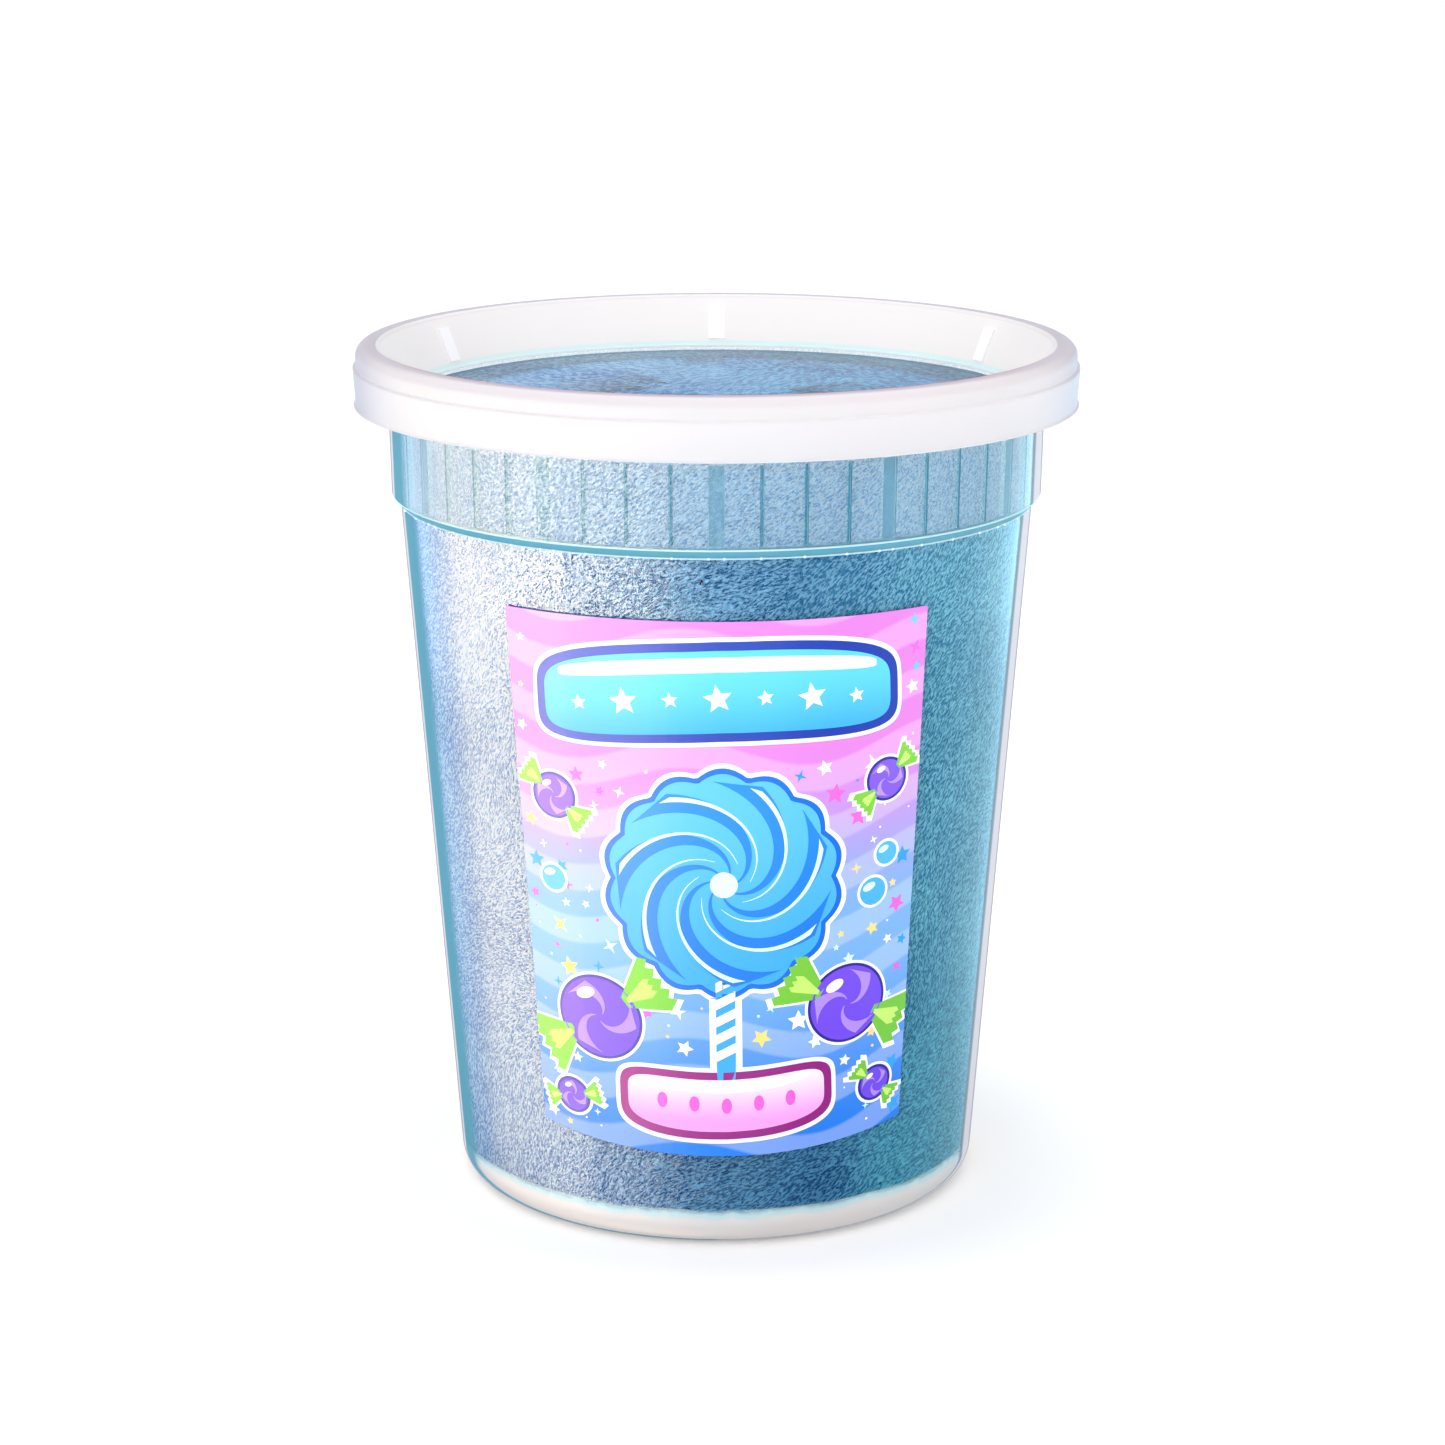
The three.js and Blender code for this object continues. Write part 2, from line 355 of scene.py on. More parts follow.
class Tree:
    """A node tree of a material, a world or a group, with short calls that add and join nodes."""

    def __init__(self, tree: Group) -> None:
        """Takes over a tree and empties it."""
        self.tree = tree
        tree.nodes.clear()

    def add(self, kind: str, values: dict[str | int, object] | None = None, **settings: object) -> Node:
        """Adds a node.

        Args:
            kind: The node's type without its ShaderNode start.
            values: What goes into its inputs, by name or number: sockets, numbers or colours.
            settings: Attributes of the node.

        Returns:
            The new node.
        """
        node = self.tree.nodes.new(f"ShaderNode{kind}")
        for name, value in settings.items():
            setattr(node, name, value)
        for name, value in (values or {}).items():
            self.join(value, node.inputs[name])
        return node

    def join(self, source: object, target: Socket) -> None:
        """Joins an output to an input, or sets a number, a vector or a colour on it.

        Args:
            source: The output or the value.
            target: The input.
        """
        if isinstance(source, Socket):
            self.tree.links.new(source, target)
        else:
            target.default_value = source

    def fill(self, node: Node, values: Sequence[object]) -> Socket:
        """Fills a node's first inputs in order and gives its first output.

        Args:
            node: The node.
            values: Sockets or values for its inputs.

        Returns:
            The first output.
        """
        for slot, value in zip(node.inputs, values):
            self.join(value, slot)
        return node.outputs[0]

    def math(self, operation: str, *inputs: Socket | float) -> Socket:
        """Adds a Math node on sockets or numbers and gives its output."""
        return self.fill(self.add("Math", operation=operation), inputs)

    def times(self, first: Socket | float, second: Socket | float, plus: Socket | float = 0.0) -> Socket:
        """Multiplies two values, adds a third and gives the output."""
        return self.math("MULTIPLY_ADD", first, second, plus)

    def vector(self, operation: str, *inputs: Socket | Sequence[float]) -> Socket:
        """Adds a Vector Math node on sockets or vectors and gives its vector."""
        return self.fill(self.add("VectorMath", operation=operation), inputs)

    def spread(self, value: Socket, low: float, high: float) -> Socket:
        """Stretches a value so that low becomes 0 and high 1, with soft ends, and gives the output."""
        values = {"Value": value, "From Min": low, "From Max": high}
        return self.add("MapRange", values, interpolation_type="SMOOTHSTEP").outputs["Result"]

    def blend(self, share: Socket | float, first: Socket | Colour, second: Socket | Colour) -> Socket:
        """Mixes two colours, with a share of the second, and gives the output."""
        return self.add("Mix", {0: share, 6: first, 7: second}, data_type="RGBA").outputs[2]

    def noise(self, place: Socket, grain: Grain) -> Socket:
        """Adds a Noise Texture and gives its value, stretched if the grain says so.

        Args:
            place: The coordinates.
            grain: What the noise is like.

        Returns:
            The noise, stretched if the grain says so.
        """
        node = self.add("TexNoise", {"Vector": place, "Scale": grain.scale, "Detail": grain.detail})
        node.inputs["Distortion"].default_value = grain.distortion
        value = node.outputs["Fac"]
        return value if grain.low is None else self.spread(value, grain.low, grain.high)

    def smear(self, place: Socket, flow: Socket, scale: Socket, reach: Socket, taps: int) -> Socket:
        """Averages a noise at several places along a flow, which draws it out into streaks.

        Args:
            place: The coordinates.
            flow: The direction of the streaks.
            scale: The noise's scale.
            reach: The step from one place to the next.
            taps: How many places are averaged.

        Returns:
            The averaged noise.
        """
        total: Socket | float = 0.0
        for tap in range(taps):
            step = self.times(reach, tap - (taps - 1) / 2)
            offset = self.fill(self.add("VectorMath", {"Scale": step}, operation="SCALE"), [flow])
            there = self.vector("ADD", place, offset)
            grain = self.add("TexNoise", {"Vector": there, "Scale": scale, "Detail": 1.0})
            total = self.times(grain.outputs["Fac"], 1 / taps, total)
        return total

    def place(self) -> Socket:
        """Gives the object coordinates."""
        return self.add("TexCoord").outputs["Object"]

    def parts(self, vector: Socket) -> tuple[Socket, Socket, Socket]:
        """Gives a vector's X, Y and Z."""
        node = self.add("SeparateXYZ", {"Vector": vector})
        return node.outputs["X"], node.outputs["Y"], node.outputs["Z"]

    def level(self, place: Socket) -> Socket:
        """Gives the level vector from the axis to a place."""
        return self.vector("MULTIPLY", place, (1.0, 1.0, 0.0))

    def length(self, vector: Socket) -> Socket:
        """Gives a vector's length."""
        return self.vector("LENGTH", vector).node.outputs["Value"]

    def use(self, group: Group, **values: float) -> Node:
        """Adds a group node with its own input values."""
        return self.add("Group", {name.title(): value for name, value in values.items()}, node_tree=group)

    def bump(self, height: Socket, strength: float, distance: float) -> Socket:
        """Adds a Bump node and gives its normal."""
        values = {"Height": height, "Strength": strength, "Distance": distance}
        return self.add("Bump", values).outputs["Normal"]

    def facing(self) -> Socket:
        """Gives how far a place is seen edge on: 0 is square on and 1 is edge on."""
        return self.add("LayerWeight", {"Blend": 0.5}).outputs["Facing"]

    def mix_shaders(self, share: Socket | float, first: Socket, second: Socket) -> Socket:
        """Mixes two shaders and gives the output."""
        return self.fill(self.add("MixShader"), (share, first, second))

    def finish(self, surface: Socket, volume: Socket | None = None) -> None:
        """Joins a surface, and a volume if there is one, to the material's output."""
        shaders = {"Surface": surface, "Volume": volume}
        self.add("OutputMaterial", {name: shader for name, shader in shaders.items() if shader})

    def finish_see_through(self, surface: Socket, passes: Colour, volume: Socket | None = None) -> None:
        """Joins a surface that lets light of a colour through in shadows to the output, and a volume.

        Args:
            surface: The shader of the surface.
            passes: The colour of the light that it lets through.
            volume: The shader of the inside.
        """
        window = self.add("BsdfTransparent", {"Color": passes}).outputs[0]
        shadow = self.add("LightPath").outputs["Is Shadow Ray"]
        self.finish(self.mix_shaders(shadow, surface, window), volume)


def new_group(
    name: str, inputs: Sequence[tuple[str, float]], outputs: Sequence[str]
) -> tuple[Group, Tree, Node, Node]:
    """Makes an empty shader group with number sockets.

    Args:
        name: The group's name.
        inputs: Each input's name and value.
        outputs: Each output's name.

    Returns:
        The group, its tree, its input node and its output node.
    """
    group = bpy.data.node_groups.new(name, "ShaderNodeTree")
    for label, value in inputs:
        socket = group.interface.new_socket(name=label, in_out="INPUT", socket_type="NodeSocketFloat")
        socket.default_value = value
    for label in outputs:
        group.interface.new_socket(name=label, in_out="OUTPUT", socket_type="NodeSocketFloat")
    tree = Tree(group)
    return group, tree, group.nodes.new("NodeGroupInput"), group.nodes.new("NodeGroupOutput")


@dataclass(frozen=True)
class Moulding:
    """The unevenness of moulded plastic and film: slow waves and a fine grain, each in its own strength."""

    waves: Grain = Grain(60.0, 1.0)
    grain: Grain = Grain(2400.0)

    def group(self) -> Group:
        """Makes the group, which puts out a height.

        Returns:
            The group.
        """
        inputs = [("Waves", 1.0), ("Grain", 0.3)]
        group, tree, given, out = new_group("moulded unevenness", inputs, ["Height"])
        place = tree.place()
        waves = tree.times(tree.noise(place, self.waves), given.outputs["Waves"])
        grain = tree.times(tree.noise(place, self.grain), given.outputs["Grain"], waves)
        tree.join(grain, out.inputs["Height"])
        return group


@dataclass(frozen=True)
class Fibres:
    """Matted fibres: fine streaks and coarser creases along the flow stored on the surface, and patches."""

    fineness: float = 3300.0
    reach: float = 0.00014
    streak_taps: int = 4
    streak_low: float = 0.455
    streak_high: float = 0.545
    crease_fineness: float = 0.35
    crease_reach: float = 4.0
    crease_taps: int = 3
    crease_low: float = 0.4
    crease_high: float = 0.64
    patches: Grain = Grain(42.0, 2.0, 0.0, 0.38, 0.64)
    clouds: Grain = Grain(30.0, 3.0, 0.6, 0.42, 0.62)
    specks: Grain = Grain(1150.0, 0.0, 0.0, 0.81, 0.84)

    def group(self) -> Group:
        """Makes the group, which puts out a mask for each effect.

        Returns:
            The group.
        """
        group, tree, given, out = new_group(
            "matted fibres",
            [("Fineness", self.fineness), ("Reach", self.reach)],
            ["Streaks", "Creases", "Patches", "Clouds", "Specks"],
        )
        place = tree.place()
        flow = tree.add("Attribute", attribute_name=FLOW).outputs["Vector"]
        fineness, reach = given.outputs["Fineness"], given.outputs["Reach"]
        streaks = tree.smear(place, flow, fineness, reach, self.streak_taps)
        coarse, far = tree.times(fineness, self.crease_fineness), tree.times(reach, self.crease_reach)
        creases = tree.smear(place, flow, coarse, far, self.crease_taps)
        masks = {
            "Streaks": tree.spread(streaks, self.streak_low, self.streak_high),
            "Creases": tree.spread(creases, self.crease_low, self.crease_high),
            "Patches": tree.noise(place, self.patches),
            "Clouds": tree.noise(place, self.clouds),
            "Specks": tree.noise(place, self.specks),
        }
        for name, mask in masks.items():
            tree.join(mask, out.inputs[name])
        return group


# ---- finishes


@dataclass(frozen=True)
class Finish:
    """What a surface is finished with: each kind lays its own nodes in the material of this name."""

    name: str

    def material(self, effect: Group | None = None) -> Material:
        """Makes the material.

        Args:
            effect: The group of unevenness or fibres, for a finish that uses one.

        Returns:
            The new material.
        """
        material = bpy.data.materials.new(self.name)
        material.use_nodes = True
        self.lay(Tree(material.node_tree), effect)
        return material

    def lay(self, tree: Tree, effect: Group | None) -> None:
        """Lays the material's nodes."""
        raise NotImplementedError(self.name)


@dataclass(frozen=True)
class Haze:
    """How milky a clear plastic is: evenly, in soft clouds, in its heel and in the skin of its neck band.

    Heights and the radius of the band's skin are in metres. A line of its own tint runs along the heel's top.
    """

    even: float
    clouds: float = 0.0
    heel: float = 0.0
    heel_top: float = 0.0
    band: float = 0.0
    tint: Colour = ink("F1F4F9")
    heel_tint: Colour = ink("FFF5F0")
    line_tint: Colour = ink("D8F4F4")
    cloud: Grain = Grain(34.0, 2.0, 0.4, 0.45, 0.75)
    cloud_least: float = 0.3
    cloud_from: float = 0.06
    cloud_full: float = 0.115
    ragged: Grain = Grain(160.0, 3.0)
    ragged_rise: float = 0.0022
    heel_from: float = 0.0016
    heel_full: float = 0.0004
    line_half: float = 0.0006
    band_foot: float = 0.115
    band_skin: float = 0.0521
    band_soft: float = 0.0002

    def mask(self, tree: Tree, wrinkles: Socket | None) -> tuple[Socket, Socket]:
        """Adds the nodes that say how hazy a place is, and in what colour.

        Args:
            tree: The material's tree.
            wrinkles: The plastic's fine wrinkles, which break up the haze of the band, if it has any.

        Returns:
            The haze's share and its colour.
        """
        place = tree.place()
        height = tree.parts(place)[2]
        ragged = tree.times(tree.noise(place, self.ragged), self.ragged_rise, height)
        heel = tree.spread(ragged, self.heel_top + self.heel_from, self.heel_top + self.heel_full)
        line = tree.spread(ragged, self.heel_top - self.line_half, self.heel_top + self.line_half)
        upward = tree.spread(height, self.cloud_from, self.cloud_full)
        drift = tree.times(upward, 1 - self.cloud_least, self.cloud_least)
        share = tree.times(tree.times(tree.noise(place, self.cloud), drift), self.clouds, self.even)
        if wrinkles:
            reach = tree.length(tree.level(place))
            neck = tree.spread(height, self.band_foot - self.band_soft, self.band_foot + self.band_soft)
            inner = tree.spread(reach, self.band_skin + self.band_soft, self.band_skin - self.band_soft)
            share = tree.times(tree.times(neck, inner), tree.times(wrinkles, self.band, self.band / 2), share)
        share = tree.math("MAXIMUM", share, tree.times(heel, self.heel))
        return share, tree.blend(heel, self.tint, tree.blend(line, self.heel_tint, self.line_tint))


@dataclass(frozen=True)
class PaintedBrink:
    """A painted pale strip on a clear wall where it is seen edge on, standing in for its reflections there,
    with a painted dark line along both its sides.

    The places are shares of the way from seen square on to seen edge on.
    """

    line_from: float = 0.758
    strip_from: float = 0.796
    rim_from: float = 0.915
    soft: float = 0.012
    cover: float = 0.92
    left_lag: float = 0.08
    left_fade: float = 0.08
    middle_soft: float = 0.001
    line: Colour = ink("8095A2")
    left_line: Colour = ink("5E9CB2")
    strip: Colour = ink("D6D3DA")
    rim: Colour = ink("A8A6B0")

    def over(self, tree: Tree, body: Socket) -> Socket:
        """Lays the painted strip and its dark lines over the plastic's shader.

        Args:
            tree: The material's tree.
            body: The plastic's shader.

        Returns:
            The two mixed.
        """
        # Painted reflection and shade: the strip, the grey rim and the dark lines follow how edge on the wall
        # is seen.
        facing = tree.facing()
        left = tree.spread(tree.parts(tree.place())[0], self.middle_soft, -self.middle_soft)
        late = tree.times(left, -self.left_lag, facing)
        strip = tree.spread(late, self.strip_from - self.soft, self.strip_from + self.soft)
        colour = tree.blend(strip, tree.blend(left, self.line, self.left_line), self.strip)
        rim = tree.spread(facing, self.rim_from - self.soft, self.rim_from + self.soft)
        skin = tree.add("BsdfDiffuse", {"Color": tree.blend(rim, colour, self.rim)})
        crisp = tree.spread(facing, self.line_from - self.soft, self.line_from + self.soft)
        gradual = tree.spread(facing, self.line_from - self.left_fade, self.line_from + self.soft)
        share = tree.times(left, tree.math("SUBTRACT", gradual, crisp), crisp)
        front = tree.math("SUBTRACT", self.cover, tree.add("NewGeometry").outputs["Backfacing"])
        share = tree.times(share, tree.math("MAXIMUM", front, 0.0))
        return tree.mix_shaders(share, body, skin.outputs[0])


@dataclass(frozen=True)
class ClearPlastic(Finish):
    """Clear moulded polypropylene, with some milky haze and a colour that deepens with its thickness.

    Below 1, dull is what is left of the gloss between the plastic's fine slanted wrinkles.
    """

    tint: Colour
    haze: Haze
    depth_tint: Colour = WHITE
    depth: float = 0.0
    roughness: float = 0.03
    relief: float = 0.00002
    grain: float = 0.02
    bump: float = 0.5
    dull: float = 1.0
    wrinkle: Grain = Grain(3400.0, 2.0, 0.7, 0.42, 0.6)
    slant: float = math.radians(-38)
    stretch: float = 2.6
    ior: float = 1.45
    milky_roughness: float = 0.3
    glow: float = 0.4
    passes: Colour = (0.96, 0.97, 0.97, 1.0)
    painted_brink: PaintedBrink | None = None

    def lay(self, tree: Tree, effect: Group | None) -> None:
        """Lays the nodes of the clear plastic, the haze in it and the painted edge strip over it.

        Args:
            tree: The material's tree.
            effect: The group that the finish uses.
        """
        uneven = tree.use(effect, waves=1.0, grain=self.grain)
        normal = tree.bump(uneven.outputs["Height"], self.bump, self.relief)
        clear = tree.add(
            "BsdfPrincipled",
            {
                "Base Color": self.tint,
                "Roughness": self.roughness,
                "IOR": self.ior,
                "Transmission Weight": 1.0,
                "Normal": normal,
            },
        )
        wrinkles = None
        if self.dull < 1:
            wrinkles = self.wrinkles(tree)
            gloss = tree.blend(wrinkles, (self.dull, self.dull, self.dull, 1.0), WHITE)
            tree.join(gloss, clear.inputs["Specular Tint"])
        share, colour = self.haze.mask(tree, wrinkles)
        surface = {"Base Color": colour, "Roughness": self.milky_roughness, "IOR": self.ior, "Normal": normal}
        milky = tree.add("BsdfPrincipled", surface)
        through = tree.add("BsdfTranslucent", {"Color": colour, "Normal": normal})
        scatter = tree.mix_shaders(self.glow, milky.outputs[0], through.outputs[0])
        body = tree.mix_shaders(share, clear.outputs[0], scatter)
        # Painted reflection: a pale strip with dark lines where the wall is seen edge on.
        if self.painted_brink:
            body = self.painted_brink.over(tree, body)
        inside = None
        if self.depth > 0:
            depths = {"Color": self.depth_tint, "Density": self.depth}
            inside = tree.add("VolumeAbsorption", depths).outputs[0]
        tree.finish_see_through(body, self.passes, inside)

    def wrinkles(self, tree: Tree) -> Socket:
        """Adds the nodes that mark the wrinkles and gives the mask.

        Args:
            tree: The material's tree.

        Returns:
            The mask.
        """
        slanted = {"Rotation": (0.0, self.slant, 0.0), "Scale": (self.stretch, 1.0, 1.0)}
        mapping = tree.add("Mapping", {"Vector": tree.place(), **slanted}, vector_type="TEXTURE")
        return tree.noise(mapping.outputs[0], self.wrinkle)


@dataclass(frozen=True)
class MilkyPlastic(Finish):
    """Translucent milky plastic, such as a lid's rim: light goes through it, shapes hardly do.

    It may have a painted shade where it is seen edge on, a blush at its front and a tinted foot below a
    height.
    """

    tint: Colour
    cover: float
    glow: float
    roughness: float = 0.3
    grain: float = 0.05
    bump: float = 0.4
    relief: float = 0.00004
    # edge: a painted shade, laid where the plastic is seen edge on.
    edge: Colour | None = None
    edge_from: float = 0.5
    edge_full: float = 0.95
    blush: Colour | None = None
    blush_from: float = -0.01
    blush_full: float = -0.035
    foot: Colour | None = None
    foot_top: float = 0.0
    foot_fade: float = 0.001
    passes: Colour = (0.93, 0.93, 0.93, 1.0)

    def lay(self, tree: Tree, effect: Group | None) -> None:
        """Lays the nodes of the skin, the light through it and what shows behind it.

        Args:
            tree: The material's tree.
            effect: The group that the finish uses.
        """
        uneven = tree.use(effect, waves=1.0, grain=self.grain)
        colour = self.colour(tree)
        skin = tree.add(
            "BsdfPrincipled",
            {
                "Base Color": colour,
                "Roughness": self.roughness,
                "Specular IOR Level": 0.25,
                "Coat Weight": 0.1,
                "Normal": tree.bump(uneven.outputs["Height"], self.bump, self.relief),
            },
        )
        through = tree.add("BsdfTranslucent", {"Color": colour})
        window = tree.add("BsdfTransparent")
        body = tree.mix_shaders(self.glow, skin.outputs[0], through.outputs[0])
        tree.finish_see_through(tree.mix_shaders(self.cover, window.outputs[0], body), self.passes)

    def colour(self, tree: Tree) -> Socket | Colour:
        """Gives the tint, and adds the nodes that change it if there is a painted edge shade, a blush or a
        foot.

        Args:
            tree: The material's tree.

        Returns:
            The colour.
        """
        colour: Socket | Colour = self.tint
        if self.edge:
            # Painted shade: darker where the plastic is seen edge on.
            colour = tree.blend(tree.spread(tree.facing(), self.edge_from, self.edge_full), colour, self.edge)
        if self.blush:
            front = tree.spread(tree.parts(tree.place())[1], self.blush_from, self.blush_full)
            colour = tree.blend(front, colour, self.blush)
        if self.foot:
            low = tree.spread(tree.parts(tree.place())[2], self.foot_top, self.foot_top - self.foot_fade)
            colour = tree.blend(low, colour, self.foot)
        return colour


@dataclass(frozen=True)
class SideToneAndPaintedLight:
    """How the floss's colour changes round the tub, with painted light at the left, a painted shade band and
    a painted dark edge where it is seen edge on from the front: places from -1 at the left to 1 at the right.
    """

    aqua_from: float = 0.15
    aqua_to: float = 0.7
    # Painted light: the floss is paler towards the left.
    painted_light_from: float = -0.1
    painted_light_to: float = -0.72
    # Painted shade: the band where the floss darkens towards the bottom.
    shade_from: float = -0.3
    shade_full: float = 0.1
    shade_end: float = 0.35
    shade_to: float = 0.65
    # Painted shade: a dark line where the floss is seen edge on from the front.
    left_edge_from: float = -0.925
    left_edge_to: float = -0.965
    right_edge_from: float = 0.958
    right_edge_to: float = 0.966

    def masks(self, tree: Tree, place: Socket) -> dict[str, Socket]:
        """Adds the nodes that say where the floss is aqua, where it has painted shade or painted light, and
        where its painted dark edge lies.

        Args:
            tree: The material's tree.
            place: The object coordinates.

        Returns:
            The shares by name.
        """
        across = tree.parts(tree.vector("NORMALIZE", tree.level(place)))[0]
        shade = tree.spread(across, self.shade_from, self.shade_full)
        left_edge = tree.spread(across, self.left_edge_from, self.left_edge_to)
        right_edge = tree.spread(across, self.right_edge_from, self.right_edge_to)
        return {
            "aqua": tree.spread(across, self.aqua_from, self.aqua_to),
            "light": tree.spread(across, self.painted_light_from, self.painted_light_to),
            "shade": tree.times(shade, tree.spread(across, self.shade_to, self.shade_end)),
            "edge": tree.math("MAXIMUM", left_edge, right_edge),
        }


@dataclass(frozen=True)
class Tone:
    """A colour of floss: its shaded valleys and its bright crests."""

    valley: Colour
    crest: Colour


@dataclass(frozen=True)
class FlossTones:
    """The floss's colours from place to place, painted light and shade among them, and the heights in metres
    between which they change.
    """

    # left is painted light and edge a painted dark edge line; low and low_right make the floss darker towards
    # the bottom; high is partly painted light at the neck under the lid's skirt, partly cloudy floss near the
    # top.
    middle: Tone = Tone(ink("125A98"), ink("7CBCE2"))
    right: Tone = Tone(ink("0C74A0"), ink("8CDCEC"))
    left: Tone = Tone(ink("2E7CC0"), ink("D2E6F8"))
    low: Tone = Tone(ink("0F3A6E"), ink("5C9CC8"))
    low_right: Tone = Tone(ink("006490"), ink("64C4D8"))
    high: Tone = Tone(ink("5C94C8"), ink("C4DCF2"))
    edge: Tone = Tone(ink("0A6C8C"), ink("3498B4"))
    low_from: float = 0.05
    low_full: float = 0.01
    low_least: float = 0.2
    low_rise: float = 0.75
    low_share: float = 0.95
    deep_from: float = 0.062
    deep_full: float = 0.03
    neck_from: float = 0.1125
    neck_full: float = 0.1145
    neck_share: float = 0.75
    high_from: float = 0.088
    high_full: float = 0.122
    high_share: float = 0.35

    def colour(self, tree: Tree, grain: Socket, clouds: Socket | float) -> Socket:
        """Adds the nodes that give the floss's colour.

        Args:
            tree: The material's tree.
            grain: From 0 in the valleys to 1 on the crests.
            clouds: Where the floss near the top is cloudy.

        Returns:
            The colour.
        """
        place = tree.place()
        masks = SideToneAndPaintedLight().masks(tree, place)
        height = tree.parts(place)[2]
        low = tree.times(tree.spread(height, self.low_from, self.low_full), self.low_rise, self.low_least)
        low = tree.times(tree.times(low, masks["shade"]), self.low_share)
        deep = tree.spread(height, self.deep_from, self.deep_full)
        # Painted light: the neck under the lid's skirt is lifted towards the paler high tone.
        neck = tree.times(tree.spread(height, self.neck_from, self.neck_full), self.neck_share)
        cloudy = tree.times(tree.spread(height, self.high_from, self.high_full), self.high_share)
        high = tree.math("MAXIMUM", neck, tree.times(clouds, cloudy))
        sides = []
        for part in ("valley", "crest"):
            # Painted light on the left; the last blend lays the painted dark edge.
            shade = tree.blend(masks["light"], getattr(self.middle, part), getattr(self.left, part))
            right = tree.blend(deep, getattr(self.right, part), getattr(self.low_right, part))
            shade = tree.blend(masks["aqua"], shade, right)
            shade = tree.blend(low, shade, getattr(self.low, part))
            shade = tree.blend(high, shade, getattr(self.high, part))
            sides.append(tree.blend(masks["edge"], shade, getattr(self.edge, part)))
        return tree.blend(grain, sides[0], sides[1])


@dataclass(frozen=True)
class FlossFinish(Finish):
    """Matted sugar floss: grain between valleys and crests, and rare dark specks.

    The crown, which starts at a height, has tones of its own, lighter at its left as painted light and darker
    at its right as painted shade, and a painted shade along its far edge.
    """

    tones: FlossTones
    crown_lit_left: Tone
    crown_shaded_right: Tone
    speck: Colour
    sheen: Colour
    # Painted shade along the crown's far edge, under the recess wall.
    far_edge_shade: Colour = ink("085C94")
    fringe_from: float = 0.0478
    fringe_to: float = 0.0492
    fringe_back: float = 0.02
    crown_foot: float = 0.1268
    crown_fade: float = 0.0008
    crown_left_end: float = -0.036
    crown_right_end: float = 0.02
    crown_clouds: float = 0.32
    crown_creases: float = 0.68
    crease_low: float = 0.2
    crease_high: float = 0.62
    creases: float = 0.25
    grain: float = 0.76
    patches: float = 0.2
    bump: float = 0.8
    relief: float = 0.0002

    def lay(self, tree: Tree, effect: Group | None) -> None:
        """Lays the nodes of the floss's colour, relief and sheen.

        Args:
            tree: The material's tree.
            effect: The group that the finish uses.
        """
        masks = tree.use(effect).outputs
        ridges = tree.times(masks["Creases"], self.creases, masks["Streaks"])
        patchy = tree.times(masks["Patches"], self.patches, -self.patches / 2)
        side = self.tones.colour(tree, tree.times(ridges, self.grain, patchy), masks["Clouds"])
        height = tree.parts(tree.place())[2]
        on_crown = tree.spread(height, self.crown_foot, self.crown_foot + self.crown_fade)
        colour = tree.blend(on_crown, side, self.crown(tree, masks))
        shader = tree.add(
            "BsdfPrincipled",
            {
                "Base Color": tree.blend(masks["Specks"], colour, self.speck),
                "Roughness": 0.7,
                "Specular IOR Level": 0.12,
                "Sheen Weight": 0.4,
                "Sheen Roughness": 0.35,
                "Sheen Tint": self.sheen,
                "Normal": tree.bump(ridges, self.bump, self.relief),
            },
        )
        tree.finish(shader.outputs[0])

    def crown(self, tree: Tree, masks: bpy.types.NodeOutputs) -> Socket:
        """Adds the nodes that give the colour of the floss's level top, with its painted light and shade.

        Args:
            tree: The material's tree.
            masks: The outputs of the group of fibres.

        Returns:
            The colour.
        """
        place = tree.place()
        x, y, _ = tree.parts(place)
        creases = tree.spread(masks["Creases"], self.crease_low, self.crease_high)
        fleck = tree.times(masks["Clouds"], self.crown_clouds, tree.times(creases, self.crown_creases))
        left = tree.blend(fleck, self.crown_lit_left.valley, self.crown_lit_left.crest)
        right = tree.blend(fleck, self.crown_shaded_right.valley, self.crown_shaded_right.crest)
        # Painted light and shade: lighter at the left, darker at the right.
        crown = tree.blend(tree.spread(x, self.crown_left_end, self.crown_right_end), left, right)
        # Painted shade along the far edge.
        rim = tree.spread(tree.length(tree.level(place)), self.fringe_from, self.fringe_to)
        return tree.blend(tree.times(rim, tree.spread(y, 0.0, self.fringe_back)), crown, self.far_edge_shade)


@dataclass(frozen=True)
class StrandFinish(Finish):
    """Single sugar threads in the floss's colours, each in its own shade between two grades of them."""

    tones: FlossTones
    darkest: float
    lightest: float

    def lay(self, tree: Tree, effect: Group | None) -> None:
        """Lays the nodes, which read the threads' shade attribute.

        Args:
            tree: The material's tree.
            effect: Not used.
        """
        shade = tree.add("Attribute", attribute_name=SHADE).outputs["Fac"]
        grain = tree.times(shade, self.lightest - self.darkest, self.darkest)
        # The tones carry the floss's painted light and shade.
        colour = self.tones.colour(tree, grain, 0.5)
        surface = {"Base Color": colour, "Roughness": 0.55, "Specular IOR Level": 0.15}
        tree.finish(tree.add("BsdfPrincipled", surface).outputs[0])


